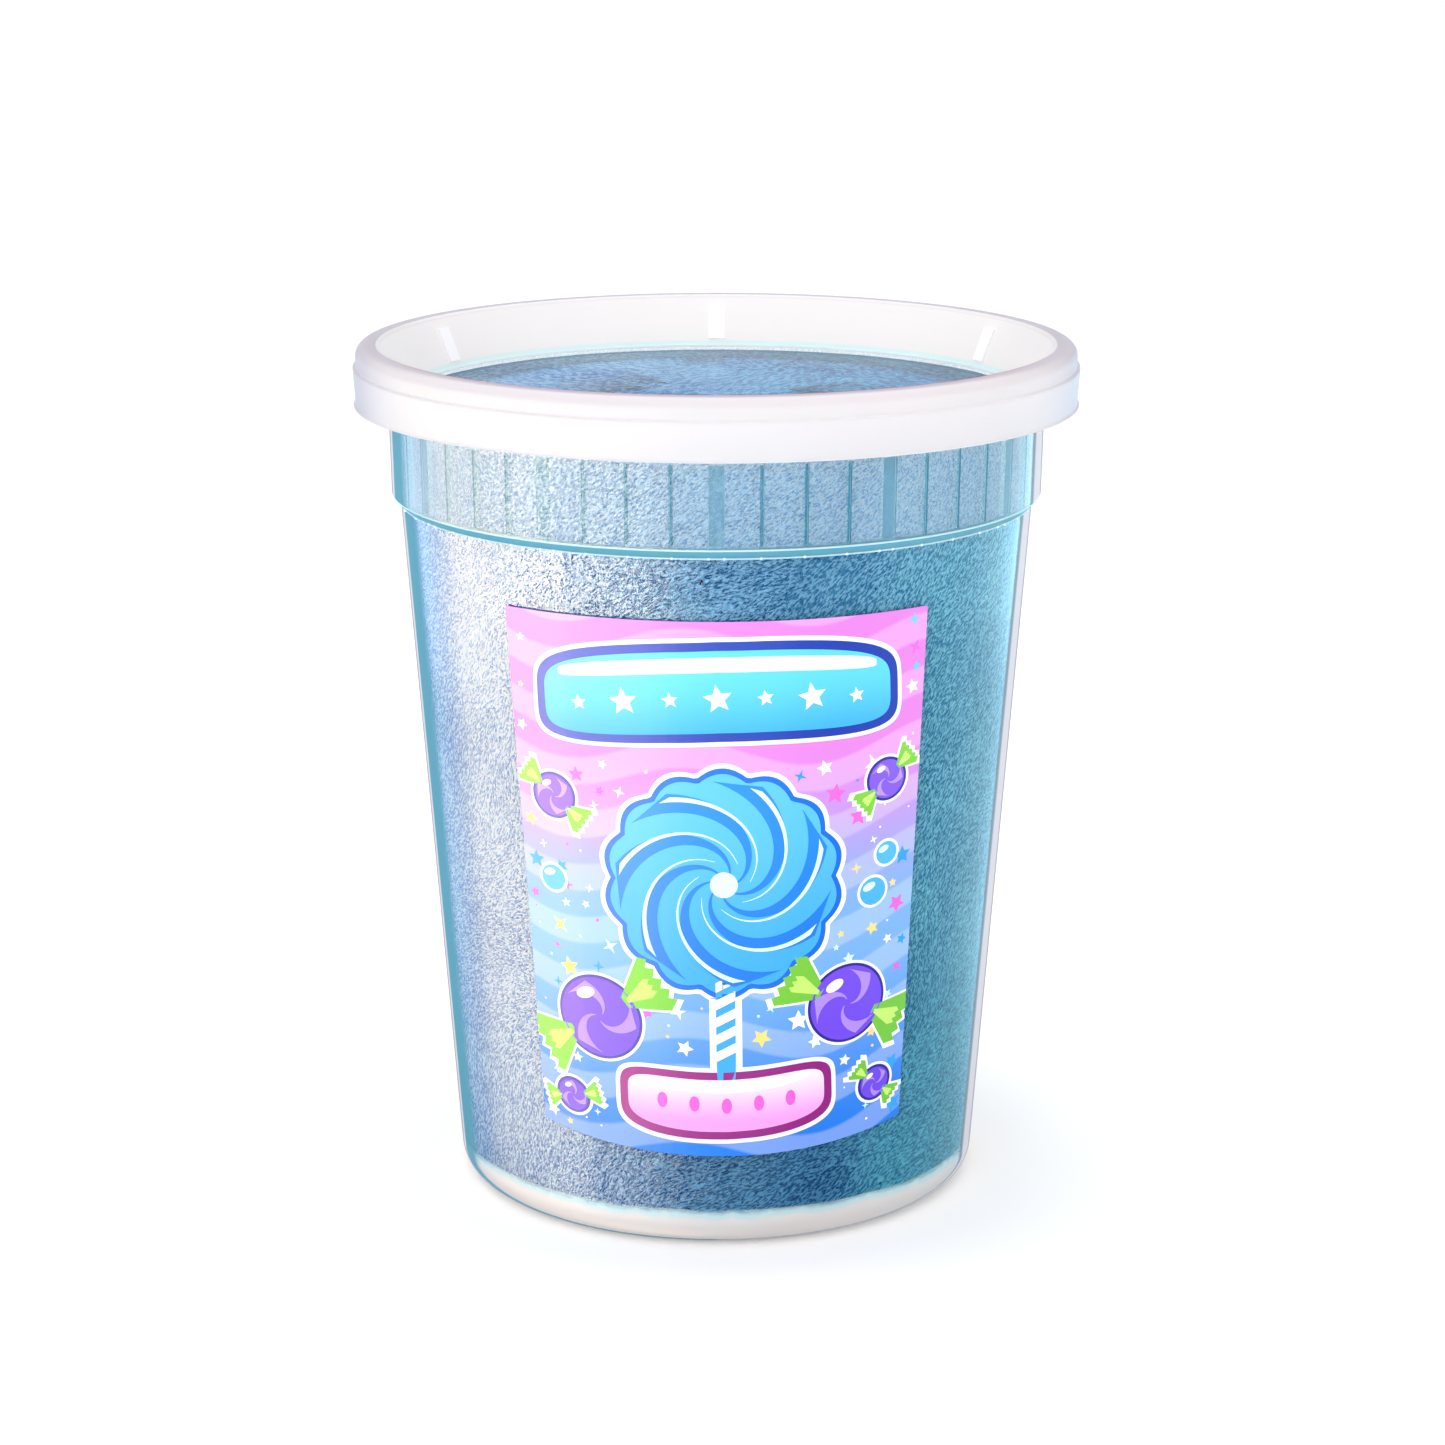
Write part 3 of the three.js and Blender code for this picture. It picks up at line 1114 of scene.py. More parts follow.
@dataclass(frozen=True)
class PrintInk(Finish):
    """Ink on glossy film, fading from a lower to an upper colour, and through a middle one if it has one.

    Heights are shares of the label's, and paler waves lie on an ink with a wave lift.
    """

    lower: Colour
    upper: Colour
    from_share: float = 0.0
    to_share: float = 1.0
    wave_lift: float = 0.0
    middle: Colour | None = None
    middle_share: float = 0.5
    wave_count: float = 62.0
    wave_edge: float = 0.25
    sway_count: float = 11.0
    sway: float = 1.6
    grain: float = 0.35
    bump: float = 0.5
    relief: float = 0.00002

    def lay(self, tree: Tree, effect: Group | None) -> None:
        """Lays the nodes of the ink's colour and the film's gloss.

        Args:
            tree: The material's tree.
            effect: The group that the finish uses.
        """
        uneven = tree.use(effect, waves=0.6, grain=self.grain)
        shader = tree.add(
            "BsdfPrincipled",
            {
                "Base Color": self.colour(tree),
                "Roughness": 0.35,
                "Specular IOR Level": 0.15,
                "Coat Weight": 0.2,
                "Coat Roughness": 0.12,
                "Normal": tree.bump(uneven.outputs["Height"], self.bump, self.relief),
            },
        )
        tree.finish(shader.outputs[0])

    def colour(self, tree: Tree) -> Socket:
        """Adds the nodes that give the ink's colour.

        Args:
            tree: The material's tree.

        Returns:
            The colour.
        """
        x, y, _ = tree.parts(tree.add("UVMap", uv_map=PRINT_MAP).outputs[0])
        if self.middle:
            below = tree.spread(y, self.from_share, self.middle_share)
            above = tree.spread(y, self.middle_share, self.to_share)
            colour = tree.blend(above, tree.blend(below, self.lower, self.middle), self.upper)
        else:
            colour = tree.blend(tree.spread(y, self.from_share, self.to_share), self.lower, self.upper)
        if self.wave_lift > 0:
            sway = tree.times(tree.math("SINE", tree.times(x, self.sway_count)), self.sway)
            bands = tree.math("SINE", tree.times(y, self.wave_count, sway))
            crest = tree.spread(bands, -self.wave_edge, self.wave_edge)
            colour = tree.blend(tree.times(crest, self.wave_lift), colour, WHITE)
        return colour


@dataclass(frozen=True)
class FloorFinish(Finish):
    """A matt pale floor that grows whiter with the distance from the object, in metres."""

    near: Colour = (0.93, 0.93, 0.94, 1.0)
    far: Colour = WHITE
    near_to: float = 0.4
    far_from: float = 1.4

    def lay(self, tree: Tree, effect: Group | None) -> None:
        """Lays the nodes."""
        share = tree.spread(tree.length(tree.place()), self.near_to, self.far_from)
        tree.finish(tree.add("BsdfDiffuse", {"Color": tree.blend(share, self.near, self.far)}).outputs[0])


# ---- tub


@dataclass
class Tub:
    """The clear tub, with its foot ring, tapered wall, ribbed neck band and flared mouth."""

    wall: float = 0.8
    soft: float = 0.5
    foot_radius: float = 42.5
    heel_round: float = 4.2
    push_up: float = 1.8
    push_up_radius: float = 35.5
    foot_ring_inner: float = 36.3
    floor_thick: float = 1.0
    wall_top: float = 113.2
    wall_top_radius: float = 51.0
    band_foot: float = 114.6
    band_radius: float = 52.4
    band_top: float = 128.4
    band_top_radius: float = 52.7
    mouth_radius: float = 55.6
    flange_radius: float = 56.6
    flange_foot: float = 135.6
    top: float = 137.3
    bend_lift: float = 0.4
    rib_count: int = 48
    broad_every: int = 4
    rib_depth: float = 0.8
    rib_thin: float = 0.6
    rib_broad: float = 2.4
    rib_top: float = 127.6
    rib_soft: float = 0.17
    gap_steps: int = 4
    pip_radius: float = 0.26
    ring_round: float = 0.3
    flange_round: float = 0.2
    mouth_round: float = 0.3
    slack: float = 0.05
    within: float = 0.9
    facing: float = 0.9
    rib_skin: float = 0.1
    ledge_margin: float = 0.25
    ledge_slope: tuple[float, float] = (0.66, 0.74)
    piece: Piece = field(init=False)
    pips: Piece = field(init=False)

    def wall_radius(self, height: float) -> float:
        """Gives the outside radius of the side wall at a height."""
        return self.foot_radius + (self.wall_top_radius - self.foot_radius) * height / self.wall_top

    def rib_half_angle(self, index: int) -> float:
        """Gives half the angle that a rib takes, broad for every fourth."""
        width = self.rib_broad if index % self.broad_every == 0 else self.rib_thin
        return width / 2 / (self.band_radius - self.wall)

    def rib_middle(self) -> float:
        """Gives the distance from the axis to half the ribs' depth."""
        return self.band_radius - self.wall - self.rib_depth / 2

    def pitch(self) -> float:
        """Gives the angle from one rib to the next."""
        return 2 * math.pi / self.rib_count

    def rib_index(self, angle: float) -> int:
        """Gives the number of the rib that is nearest to an angle."""
        return round(angle / self.pitch())

    def outline(self) -> list[Vector]:
        """Gives the section from the foot's middle round the wall and back along the inside."""
        floor = self.push_up + self.floor_thick
        share = (self.rib_top - self.band_foot) / (self.band_top - self.band_foot)
        at_rib_top = self.band_radius + (self.band_top_radius - self.band_radius) * share
        corners = rounded(
            [
                Bend(0, self.push_up),
                Bend(self.push_up_radius, self.push_up, self.soft),
                Bend(self.foot_ring_inner, 0, self.ring_round),
                Bend(self.foot_radius, 0, self.heel_round),
                Bend(self.wall_top_radius, self.wall_top, self.soft),
                Bend(self.band_radius, self.band_foot, self.soft),
                Bend(self.band_top_radius, self.band_top, self.soft),
                Bend(self.mouth_radius, self.flange_foot),
                Bend(self.flange_radius, self.flange_foot, self.flange_round),
                Bend(self.flange_radius, self.top, self.soft),
                Bend(self.mouth_radius, self.top, self.mouth_round),
                Bend(self.band_top_radius - self.wall, self.band_top + self.bend_lift),
                Bend(at_rib_top - self.wall, self.rib_top),
                Bend(self.band_radius - self.wall, self.band_foot + self.bend_lift),
                Bend(self.wall_top_radius - self.wall, self.wall_top + self.bend_lift),
                Bend(self.foot_radius - self.wall, floor, self.heel_round - self.wall),
                Bend(0, floor),
            ]
        )
        return braced(corners)

    def build(self) -> None:
        """Turns the tub and draws the ribs out of its inside."""
        angles = upright_edges(self.rib_count, self.rib_half_angle, self.gap_steps)
        self.piece = turned("clear_tub", self.outline(), angles)
        with editing(self.piece, "FACE"):
            count = select_faces(self.piece, self.is_rib_ground)
            LOG.info("rib grounds: %d faces", count)
            bpy.ops.mesh.extrude_region_move(TRANSFORM_OT_translate={"value": (0, 0, 0)})
            inner = self.band_radius - self.wall
            scale = (inner - self.rib_depth) / inner
            bpy.ops.transform.resize(value=(scale, scale, 1), center_override=(0, 0, 0))
        with editing(self.piece, "EDGE"):
            self.select_rib_edges()
            bpy.ops.mesh.bevel(offset=self.rib_soft * MM, segments=2, affect="EDGES")
        smooth(self.piece)
        self.add_pips()

    def add_pips(self) -> None:
        """Sets a small round white pip on the ledge's foot at each rib, one for a thin rib and two for a
        broad one: painted glints at the ribs' feet.
        """
        pitch = self.pitch()
        angles: list[float] = []
        for i in range(self.rib_count):
            half = self.rib_half_angle(i)
            angles += [i * pitch - half, i * pitch + half] if i % self.broad_every == 0 else [i * pitch]
        radius = self.wall_top_radius + self.pip_radius / 3
        clear_selection()
        bpy.ops.mesh.primitive_ico_sphere_add(subdivisions=2, radius=self.pip_radius * MM)
        model = bpy.context.active_object
        pips = []
        for angle in angles:
            pip = model.copy()
            pip.data = model.data.copy()
            pip.location = (radius * math.sin(angle) * MM, -radius * math.cos(angle) * MM, self.wall_top * MM)
            bpy.context.collection.objects.link(pip)
            pips.append(pip)
        bpy.data.objects.remove(model)
        pick(*pips)
        bpy.ops.object.join()
        self.pips = bpy.context.active_object
        self.pips.name = self.pips.data.name = "ledge_pips"
        bpy.ops.object.transform_apply(location=True, rotation=False, scale=False)
        smooth(self.pips, math.pi)

    def select_rib_edges(self) -> None:
        """Selects the edges round the front of each rib, in edit mode."""
        mesh = bmesh.from_edit_mesh(self.piece.data)
        for edge in mesh.edges:
            fronts = [self.is_rib_front(face) for face in edge.link_faces]
            edge.select_set(sum(fronts) == 1)
        mesh.select_flush_mode()
        bmesh.update_edit_mesh(self.piece.data)

    def is_rib_front(self, face: Face) -> bool:
        """Says whether a face is part of a rib's front."""
        radius, angle, height = where(face)
        outward = Vector((math.sin(angle), -math.cos(angle), 0))
        inside = self.band_foot < height < self.rib_top and radius < self.rib_middle()
        return inside and face.normal.dot(outward) < -self.facing

    def is_rib_ground(self, face: Face) -> bool:
        """Says whether a face is a patch of the band's inside that a rib grows from."""
        radius, angle, height = where(face)
        if not self.band_foot + self.bend_lift < height < self.rib_top:
            return False
        if radius > self.band_top_radius - self.wall + self.slack:
            return False
        index = self.rib_index(angle)
        return abs(angle - index * self.pitch()) < self.rib_half_angle(index) * self.within

    def dress(self, moulding: Group) -> None:
        """Gives the wall, the ribs and the ledge their plastics.

        Args:
            moulding: The group of moulded unevenness.
        """
        wall = ClearPlastic(
            "clear wall",
            ink("FAFDFE"),
            Haze(even=0.0, clouds=0.02, heel=0.86, heel_top=0.0062, band=0.4, tint=ink("E2F2F8")),
            depth_tint=ink("7FC8D4"),
            depth=30.0,
            dull=0.15,
            # A painted pale strip with dark lines where the wall is seen edge on.
            painted_brink=PaintedBrink(),
        )
        ribs = ClearPlastic("aqua ribs", ink("E0F4F8"), Haze(even=0.55, tint=ink("A6D8E4")))
        thin = ClearPlastic("thin ribs and ledge", ink("D8F0F4"), Haze(even=0.7, tint=ink("60B2C6")))
        # Near-white finish: painted highlights along the ribs' and the ledge's edges.
        edges = ClearPlastic("painted highlight rib edges", ink("E8FBFB"), Haze(even=0.95, tint=ink("DCFAFC")))
        coat(self.piece, [plastic.material(moulding) for plastic in (wall, ribs, edges, thin)])
        give_slots(self.piece, ((1, self.is_rib), (3, self.is_thin), (2, self.is_highlight_edge)))
        attach(self.piece, "tub")
        # White opaque pips: painted glints where the ribs meet the ledge.
        glint_finish = MilkyPlastic("painted glint pips", ink("F4FFFF"), cover=1.0, glow=0.2)
        coat(self.pips, [glint_finish.material(moulding)])
        attach(self.pips, "tub")

    def is_rib(self, face: Face) -> bool:
        """Says whether a face belongs to a rib, or to the ledge under the band."""
        radius, _, height = where(face)
        inside = radius < self.band_radius - self.wall - self.rib_skin
        return (self.band_foot < height <= self.rib_top and inside) or self.is_ledge(face)

    def is_thin(self, face: Face) -> bool:
        """Says whether a face belongs to a thin rib or to the ledge."""
        index = self.rib_index(where(face)[1])
        return self.is_ledge(face) or (self.is_rib(face) and index % self.broad_every != 0)

    def is_ledge(self, face: Face) -> bool:
        """Says whether a face belongs to the outside of the ledge under the band."""
        radius, _, height = where(face)
        between = self.wall_top - self.ledge_margin < height < self.band_foot + self.ledge_margin
        return between and radius > self.wall_top_radius - self.wall / 4

    def is_highlight_edge(self, face: Face) -> bool:
        """Says whether a face rounds an edge of a rib's front, or the ledge's upper or lower edge, which get
        a painted highlight.
        """
        radius, _, height = where(face)
        narrow = height > self.band_foot + self.bend_lift and face.calc_area() < self.edge_area()
        on_rib = narrow and radius < self.rib_middle() and not self.is_rib_front(face)
        sloping = self.ledge_slope[0] < -face.normal.z < self.ledge_slope[1]
        return on_rib or (self.is_ledge(face) and not sloping)

    def edge_area(self) -> float:
        """Gives an area in square metres that no rounding face of a rib exceeds."""
        return (self.rib_top - self.band_foot) * self.rib_soft * 1.5 * MM * MM


# ---- lid


@dataclass
class Lid:
    """The press-on lid, with its recessed panel, rounded rim, stepped skirt and stacking tabs."""

    wall: float = 0.8
    top: float = 138.4
    radius: float = 58.5
    shoulder_radius: float = 57.8
    shoulder_round: float = 1.7
    rim_round: float = 0.8
    skirt_foot: float = 128.9
    step_height: float = 134.9
    step_depth: float = 0.25
    rim_inner: float = 54.0
    panel_top: float = 130.1
    panel_radius: float = 50.3
    panel_round: float = 0.9
    bead_height: float = 134.0
    bead_half: float = 0.7
    bead_radius: float = 56.2
    tab_count: int = 6
    tab_width: float = 2.8
    tab_depth: float = 0.45
    tab_top: float = 136.4
    gap_steps: int = 32
    channel_round: float = 0.3
    bead_round: float = 0.2
    skirt_round: float = 0.3
    skirt_inner_round: float = 0.2
    step_round: float = 0.25
    ledge_round: float = 0.15
    slack: float = 0.2
    within: float = 0.9
    panel_slack: float = 0.05
    recess_reach: tuple[float, float] = (0.2, 5.0)
    brim_reach: float = 0.3
    tab_reach: tuple[float, float] = (0.3, 0.7)
    piece: Piece = field(init=False)

    def tab_half_angle(self) -> float:
        """Gives half the angle that a tab takes."""
        return self.tab_width / 2 / self.slope_radius((self.tab_top + self.panel_top) / 2)

    def slope_radius(self, height: float) -> float:
        """Gives the recess wall's radius at a height."""
        share = (height - self.panel_top) / (self.top - self.panel_top)
        return self.panel_radius + (self.rim_inner - self.panel_radius) * share

    def outline(self) -> list[Vector]:
        """Gives the section from the panel's underside round the skirt and back over the rim."""
        skirt_inner = self.radius - self.wall
        channel = self.shoulder_radius - self.wall
        corners = rounded(
            [
                Bend(0, self.panel_top - self.wall),
                Bend(self.panel_radius + self.wall, self.panel_top - self.wall, self.panel_round),
                Bend(self.rim_inner + self.wall, self.top - self.wall, self.channel_round),
                Bend(channel, self.top - self.wall, self.rim_round),
                Bend(channel, self.bead_height + self.bead_half),
                Bend(self.bead_radius, self.bead_height, self.bead_round),
                Bend(skirt_inner - self.step_depth, self.bead_height - self.bead_half),
                Bend(skirt_inner, self.skirt_foot, self.skirt_inner_round),
                Bend(self.radius, self.skirt_foot, self.skirt_round),
                Bend(self.radius - self.step_depth, self.step_height, self.step_round),
                Bend(self.shoulder_radius, self.step_height + self.step_depth, self.ledge_round),
                Bend(self.shoulder_radius, self.top, self.shoulder_round),
                Bend(self.rim_inner, self.top, self.rim_round),
                Bend(self.slope_radius(self.tab_top), self.tab_top),
                Bend(self.panel_radius, self.panel_top, self.panel_round),
                Bend(0, self.panel_top),
            ]
        )
        return braced(corners)

    def build(self) -> None:
        """Turns the lid and draws the tabs out of its recess wall."""
        angles = upright_edges(self.tab_count, lambda _: self.tab_half_angle(), self.gap_steps)
        self.piece = turned("milky_lid", self.outline(), angles)
        with editing(self.piece, "FACE"):
            select_faces(self.piece, self.is_tab_ground)
            depth = self.tab_depth * MM
            bpy.ops.mesh.extrude_region_shrink_fatten(TRANSFORM_OT_shrink_fatten={"value": depth})
        smooth(self.piece)

    def has_tabs_at(self, height: float) -> bool:
        """Says whether the tabs stand at a height."""
        return self.panel_top + self.panel_round < height < self.tab_top

    def is_tab_ground(self, face: Face) -> bool:
        """Says whether a face is a patch of the recess wall that a tab grows from."""
        radius, angle, height = where(face)
        if not self.has_tabs_at(height) or face.normal.z < 0:
            return False
        if abs(radius - self.slope_radius(height)) > self.slack:
            return False
        pitch = 2 * math.pi / self.tab_count
        return abs(angle - round(angle / pitch) * pitch) < self.tab_half_angle() * self.within

    def dress(self, moulding: Group) -> None:
        """Gives the rim its milky plastic, the panel a clearer one, and the tabs, recess and brim their own.

        Args:
            moulding: The group of moulded unevenness.
        """
        # The rim's edge colour is a painted shade at its sides, where it is seen edge on.
        rim = MilkyPlastic("milky rim", ink("EDEAEB"), cover=0.88, glow=0.55, edge=ink("CFC9D2"))
        panel = ClearPlastic(
            "clear panel",
            ink("F4F8FC"),
            Haze(even=0.01, clouds=0.04),
            roughness=0.04,
            ior=1.04,
            passes=(0.4, 0.47, 0.52, 1.0),
        )
        tabs = MilkyPlastic("white tabs", ink("FAF9FC"), cover=1.0, glow=0.1)
        recess = MilkyPlastic(
            "recess wall", ink("F4F1F0"), cover=0.95, glow=0.3, foot=ink("D2EFEE"), foot_top=0.1312
        )
        brim = MilkyPlastic("rosy inner brim", ink("EDEAEB"), cover=0.95, glow=0.4, blush=ink("D43A74"))
        coat(self.piece, [plastic.material(moulding) for plastic in (rim, panel, tabs, recess, brim)])
        give_slots(self.piece, ((1, self.is_panel), (3, self.is_recess), (2, self.is_tab), (4, self.is_brim)))
        attach(self.piece, "lid")

    def is_recess(self, face: Face) -> bool:
        """Says whether a face belongs to the recess wall."""
        radius, _, height = where(face)
        between = self.panel_top + self.panel_slack < height < self.top - self.rim_round
        return between and self.recess_reach[0] < self.rim_inner - radius < self.recess_reach[1]

    def is_brim(self, face: Face) -> bool:
        """Says whether a face rounds the rim's inner edge."""
        radius, _, height = where(face)
        outward = radius - self.rim_inner
        return height > self.top - self.rim_round and -self.brim_reach < outward < self.rim_round

    def is_tab(self, face: Face) -> bool:
        """Says whether a face is the front of a tab."""
        radius, _, height = where(face)
        inward = self.slope_radius(height) - radius
        return self.has_tabs_at(height) and self.tab_reach[0] < inward < self.tab_reach[1]

    def is_panel(self, face: Face) -> bool:
        """Says whether a face belongs to the flat panel."""
        radius, _, height = where(face)
        return height < self.panel_top + self.panel_slack and radius < self.panel_radius


# ---- candy


class Thread(Enum):
    """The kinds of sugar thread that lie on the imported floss."""

    PALE = "pale_threads"
    BLUE = "blue_threads"
    WISP = "wisp_threads"


@dataclass(frozen=True)
class ThreadLot:
    """How many threads of a kind there are, how they lie, and their finish.

    Sizes are in millimetres. A thread arches up by at most the lift, its ends sink into the core, and it
    wanders off the flow by an angle in radians.
    """

    kind: Thread
    finish: StrandFinish
    count: int
    steps: int
    step: float
    radius: float
    lift: float
    sink: float
    wander: float
    seed: int


@dataclass
class Candy:
    """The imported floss: a softly folded core and the sugar threads matted on it."""

    floor: float = 3.1
    foot_radius: float = 42.2
    waist: float = 112.6
    waist_radius: float = 50.5
    top: float = 129.25
    top_radius: float = 50.6
    heel_round: float = 4.4
    brow_round: float = 0.7
    around: int = 92
    subdivisions: int = 2
    core: Piece = field(init=False)
    threads: list[Piece] = field(default_factory=list)

    def outline(self) -> list[Vector]:
        """Gives the core's section, with points spread evenly along it."""
        bends = rounded(
            [
                Bend(0, self.floor),
                Bend(self.foot_radius, self.floor, self.heel_round),
                Bend(self.waist_radius, self.waist),
                Bend(self.top_radius, self.top, self.brow_round),
                Bend(0, self.top),
            ]
        )
        length = sum((b - a).length for a, b in zip(bends, bends[1:]))
        spacing = 2 * math.pi * self.waist_radius / self.around
        count = round(length / spacing)
        points, travelled, target = [bends[0]], 0.0, 0.0
        for start, end in zip(bends, bends[1:]):
            reach = (end - start).length
            while target + length / count <= travelled + reach + 1e-6:
                target += length / count
                points.append(start.lerp(end, (target - travelled) / reach))
            travelled += reach
        points[-1] = bends[-1]
        brow = Vector((self.top_radius - self.brow_round / 2, self.top - self.brow_round / 2))
        nearest = min(range(len(points)), key=lambda i: (points[i] - brow).length)
        points[nearest] = brow
        return points

    def build(self) -> None:
        """Makes the core and lays the threads on it."""
        angles = [2 * math.pi * i / self.around for i in range(self.around)]
        self.core = turned("floss_core", self.outline(), angles)
        with editing(self.core, "FACE"):
            bpy.ops.mesh.select_all(action="SELECT")
            bpy.ops.mesh.subdivide(number_cuts=2**self.subdivisions - 1, smoothness=0)
        self.soften()
        for relief in FOLDS:
            self.press(relief)
        smooth(self.core, math.pi)
        self.note_flow()

    def note_flow(self) -> None:
        """Stores the direction of the fibres at each point of the core."""
        mesh = self.core.data
        arrows = [tuple(flow_at(vertex.co, vertex.normal)) for vertex in mesh.vertices]
        attribute = mesh.attributes.new(FLOW, "FLOAT_VECTOR", "POINT")
        attribute.data.foreach_set("vector", np.array(arrows, np.float32).ravel())

    def soften(self) -> None:
        """Rounds the core's flats by setting each side point back on its own circle."""
        outline = self.outline()
        heights = np.array([p.y for p in outline])
        radii = np.array([p.x for p in outline])
        side = (heights > self.floor + 0.01) & (heights < self.top - 0.01)
        order = np.argsort(heights[side])
        for vertex in self.core.data.vertices:
            z = vertex.co.z / MM
            if self.floor + 0.1 < z < self.top - 0.1:
                radius = float(np.interp(z, heights[side][order], radii[side][order])) * MM
                flat = Vector((vertex.co.x, vertex.co.y)).normalized() * radius
                vertex.co.x, vertex.co.y = flat

    def press(self, relief: Relief) -> None:
        """Presses a relief into the core with a Displace modifier that is then applied.

        Args:
            relief: The relief.
        """
        texture = bpy.data.textures.new(relief.name, type="CLOUDS")
        texture.noise_scale = relief.scale * MM
        texture.noise_depth = relief.depth_steps
        strength = -relief.depth * MM
        modify(
            self.core,
            "DISPLACE",
            texture=texture,
            texture_coords="LOCAL",
            strength=strength,
            mid_level=relief.middle,
        )

    def lay(self, lot: ThreadLot) -> None:
        """Lays one lot of threads on the core, as one mesh of thin three-sided tubes.

        Args:
            lot: The kind of thread.
        """
        rng = np.random.default_rng(lot.seed)
        tree = BVHTree.FromPolygons(
            [v.co for v in self.core.data.vertices], [p.vertices for p in self.core.data.polygons]
        )
        vertices = self.core.data.vertices
        starts = rng.integers(0, len(vertices), lot.count)
        points: list[np.ndarray] = []
        shades: list[float] = []
        for start in starts:
            path = self.thread_path(tree, vertices[int(start)], lot, rng)
            points.append(tube(path, lot.radius * MM))
            shades.append(float(rng.beta(2, 2)))
        self.threads.append(join_tubes(lot.kind.value, points, shades, lot.steps + 1))

    def thread_path(
        self, tree: BVHTree, start: bpy.types.MeshVertex, lot: ThreadLot, rng: np.random.Generator
    ) -> list[tuple[Vector, Vector]]:
        """Follows the floss's flow over the core from one of its points.

        Args:
            tree: The core, for finding the nearest place on it.
            start: The vertex where the thread starts.
            lot: The kind of thread.
            rng: The lot's own random numbers.

        Returns:
            Pairs of a place and the core's normal there.
        """
        place, normal = start.co.copy(), start.normal.copy()
        bias = float(rng.normal(0.0, lot.wander))
        curl = float(rng.normal(0.0, lot.wander * 0.2))
        lift = float(rng.uniform(0.2, 1.0)) * lot.lift * MM
        path = []
        for k in range(lot.steps + 1):
            arch = math.sin(math.pi * k / lot.steps) ** 0.5
            path.append((place + normal * (lift * arch - lot.sink * MM), normal))
            flow = flow_at(place, normal)
            flow.rotate(Matrix.Rotation(bias + curl * k, 3, normal))
            place, normal, _, _ = tree.find_nearest(place + flow * (lot.step * MM))
        return path

    def dress(self, fibres: Group) -> None:
        """Gives the core and the threads their finishes.

        Args:
            fibres: The group of matted fibres.
        """
        finish = FlossFinish(
            "packed floss",
            tones=FlossTones(),
            # Crown tones: painted light at the left, painted shade at the right.
            crown_lit_left=Tone(ink("1C6AA6"), ink("A4CCE0")),
            crown_shaded_right=Tone(ink("084E88"), ink("68B0D0")),
            speck=ink("14284A"),
            sheen=ink("30B8D8"),
        )
        coat(self.core, [finish.material(fibres)])
        attach(self.core, "cotton_candy")
        for piece, lot in zip(self.threads, THREAD_LOTS):
            coat(piece, [lot.finish.material()])
            attach(piece, "cotton_candy")


@dataclass(frozen=True)
class Relief:
    """A relief pressed into the floss: its wavelength and depth in millimetres, and its middle level."""

    name: str
    scale: float
    depth: float
    depth_steps: int = 2
    middle: float = 0.35


FOLDS = (Relief("slow folds", 22.0, 0.2), Relief("creases", 1.8, 0.14, 3))


FLOW_TURN = 0.75
FLOW_SWAY = ((0.8, 30.0), (0.35, 9.0))


def flow_at(place: Vector, normal: Vector) -> Vector:
    """Gives the direction of the fibres at a place on the floss.

    Args:
        place: The place in metres.
        normal: The surface's normal there.

    Returns:
        A unit vector along the surface.
    """
    level = normal.cross(Vector((0, 0, 1))) + Vector((1, 0, 0)) * normal.z**2
    level = (level - normal * level.dot(normal)).normalized()
    turn = FLOW_TURN + sum(reach * noise.noise(place / (scale * MM)) for reach, scale in FLOW_SWAY)
    level.rotate(Matrix.Rotation(turn, 3, normal))
    return level


THREAD_LOTS = (
    ThreadLot(
        Thread.PALE,
        StrandFinish("pale threads", FlossTones(), darkest=0.5, lightest=0.95),
        count=14000,
        steps=2,
        step=0.4,
        radius=0.06,
        lift=0.04,
        sink=0.02,
        wander=0.3,
        seed=11,
    ),
    ThreadLot(
        Thread.BLUE,
        StrandFinish("blue threads", FlossTones(), darkest=0.1, lightest=0.4),
        count=14000,
        steps=2,
        step=0.36,
        radius=0.055,
        lift=0.02,
        sink=0.03,
        wander=0.35,
        seed=12,
    ),
    ThreadLot(
        Thread.WISP,
        StrandFinish("wisp threads", FlossTones(), darkest=0.8, lightest=1.0),
        count=1500,
        steps=6,
        step=0.5,
        radius=0.035,
        lift=0.06,
        sink=0.02,
        wander=0.4,
        seed=13,
    ),
)


def tube(path: Sequence[tuple[Vector, Vector]], radius: float) -> np.ndarray:
    """Gives the points of a three-sided tube that tapers at both ends.

    Args:
        path: Pairs of a place and the surface's normal there.
        radius: The tube's radius in metres.

    Returns:
        An array of three points for each place.
    """
    places = np.array([p for p, _ in path])
    normals = np.array([n for _, n in path])
    along = np.gradient(places, axis=0)
    across = np.cross(along, normals)
    across /= np.linalg.norm(across, axis=1, keepdims=True) + 1e-12
    ends = np.sin(np.linspace(0.12, math.pi - 0.12, len(places))) ** 0.5
    size = (radius * ends)[:, None]
    sides = [normals * size, (-normals * 0.5 + across * 0.87) * size, (-normals * 0.5 - across * 0.87) * size]
    return np.stack([places + side for side in sides], axis=1).reshape(-1, 3)


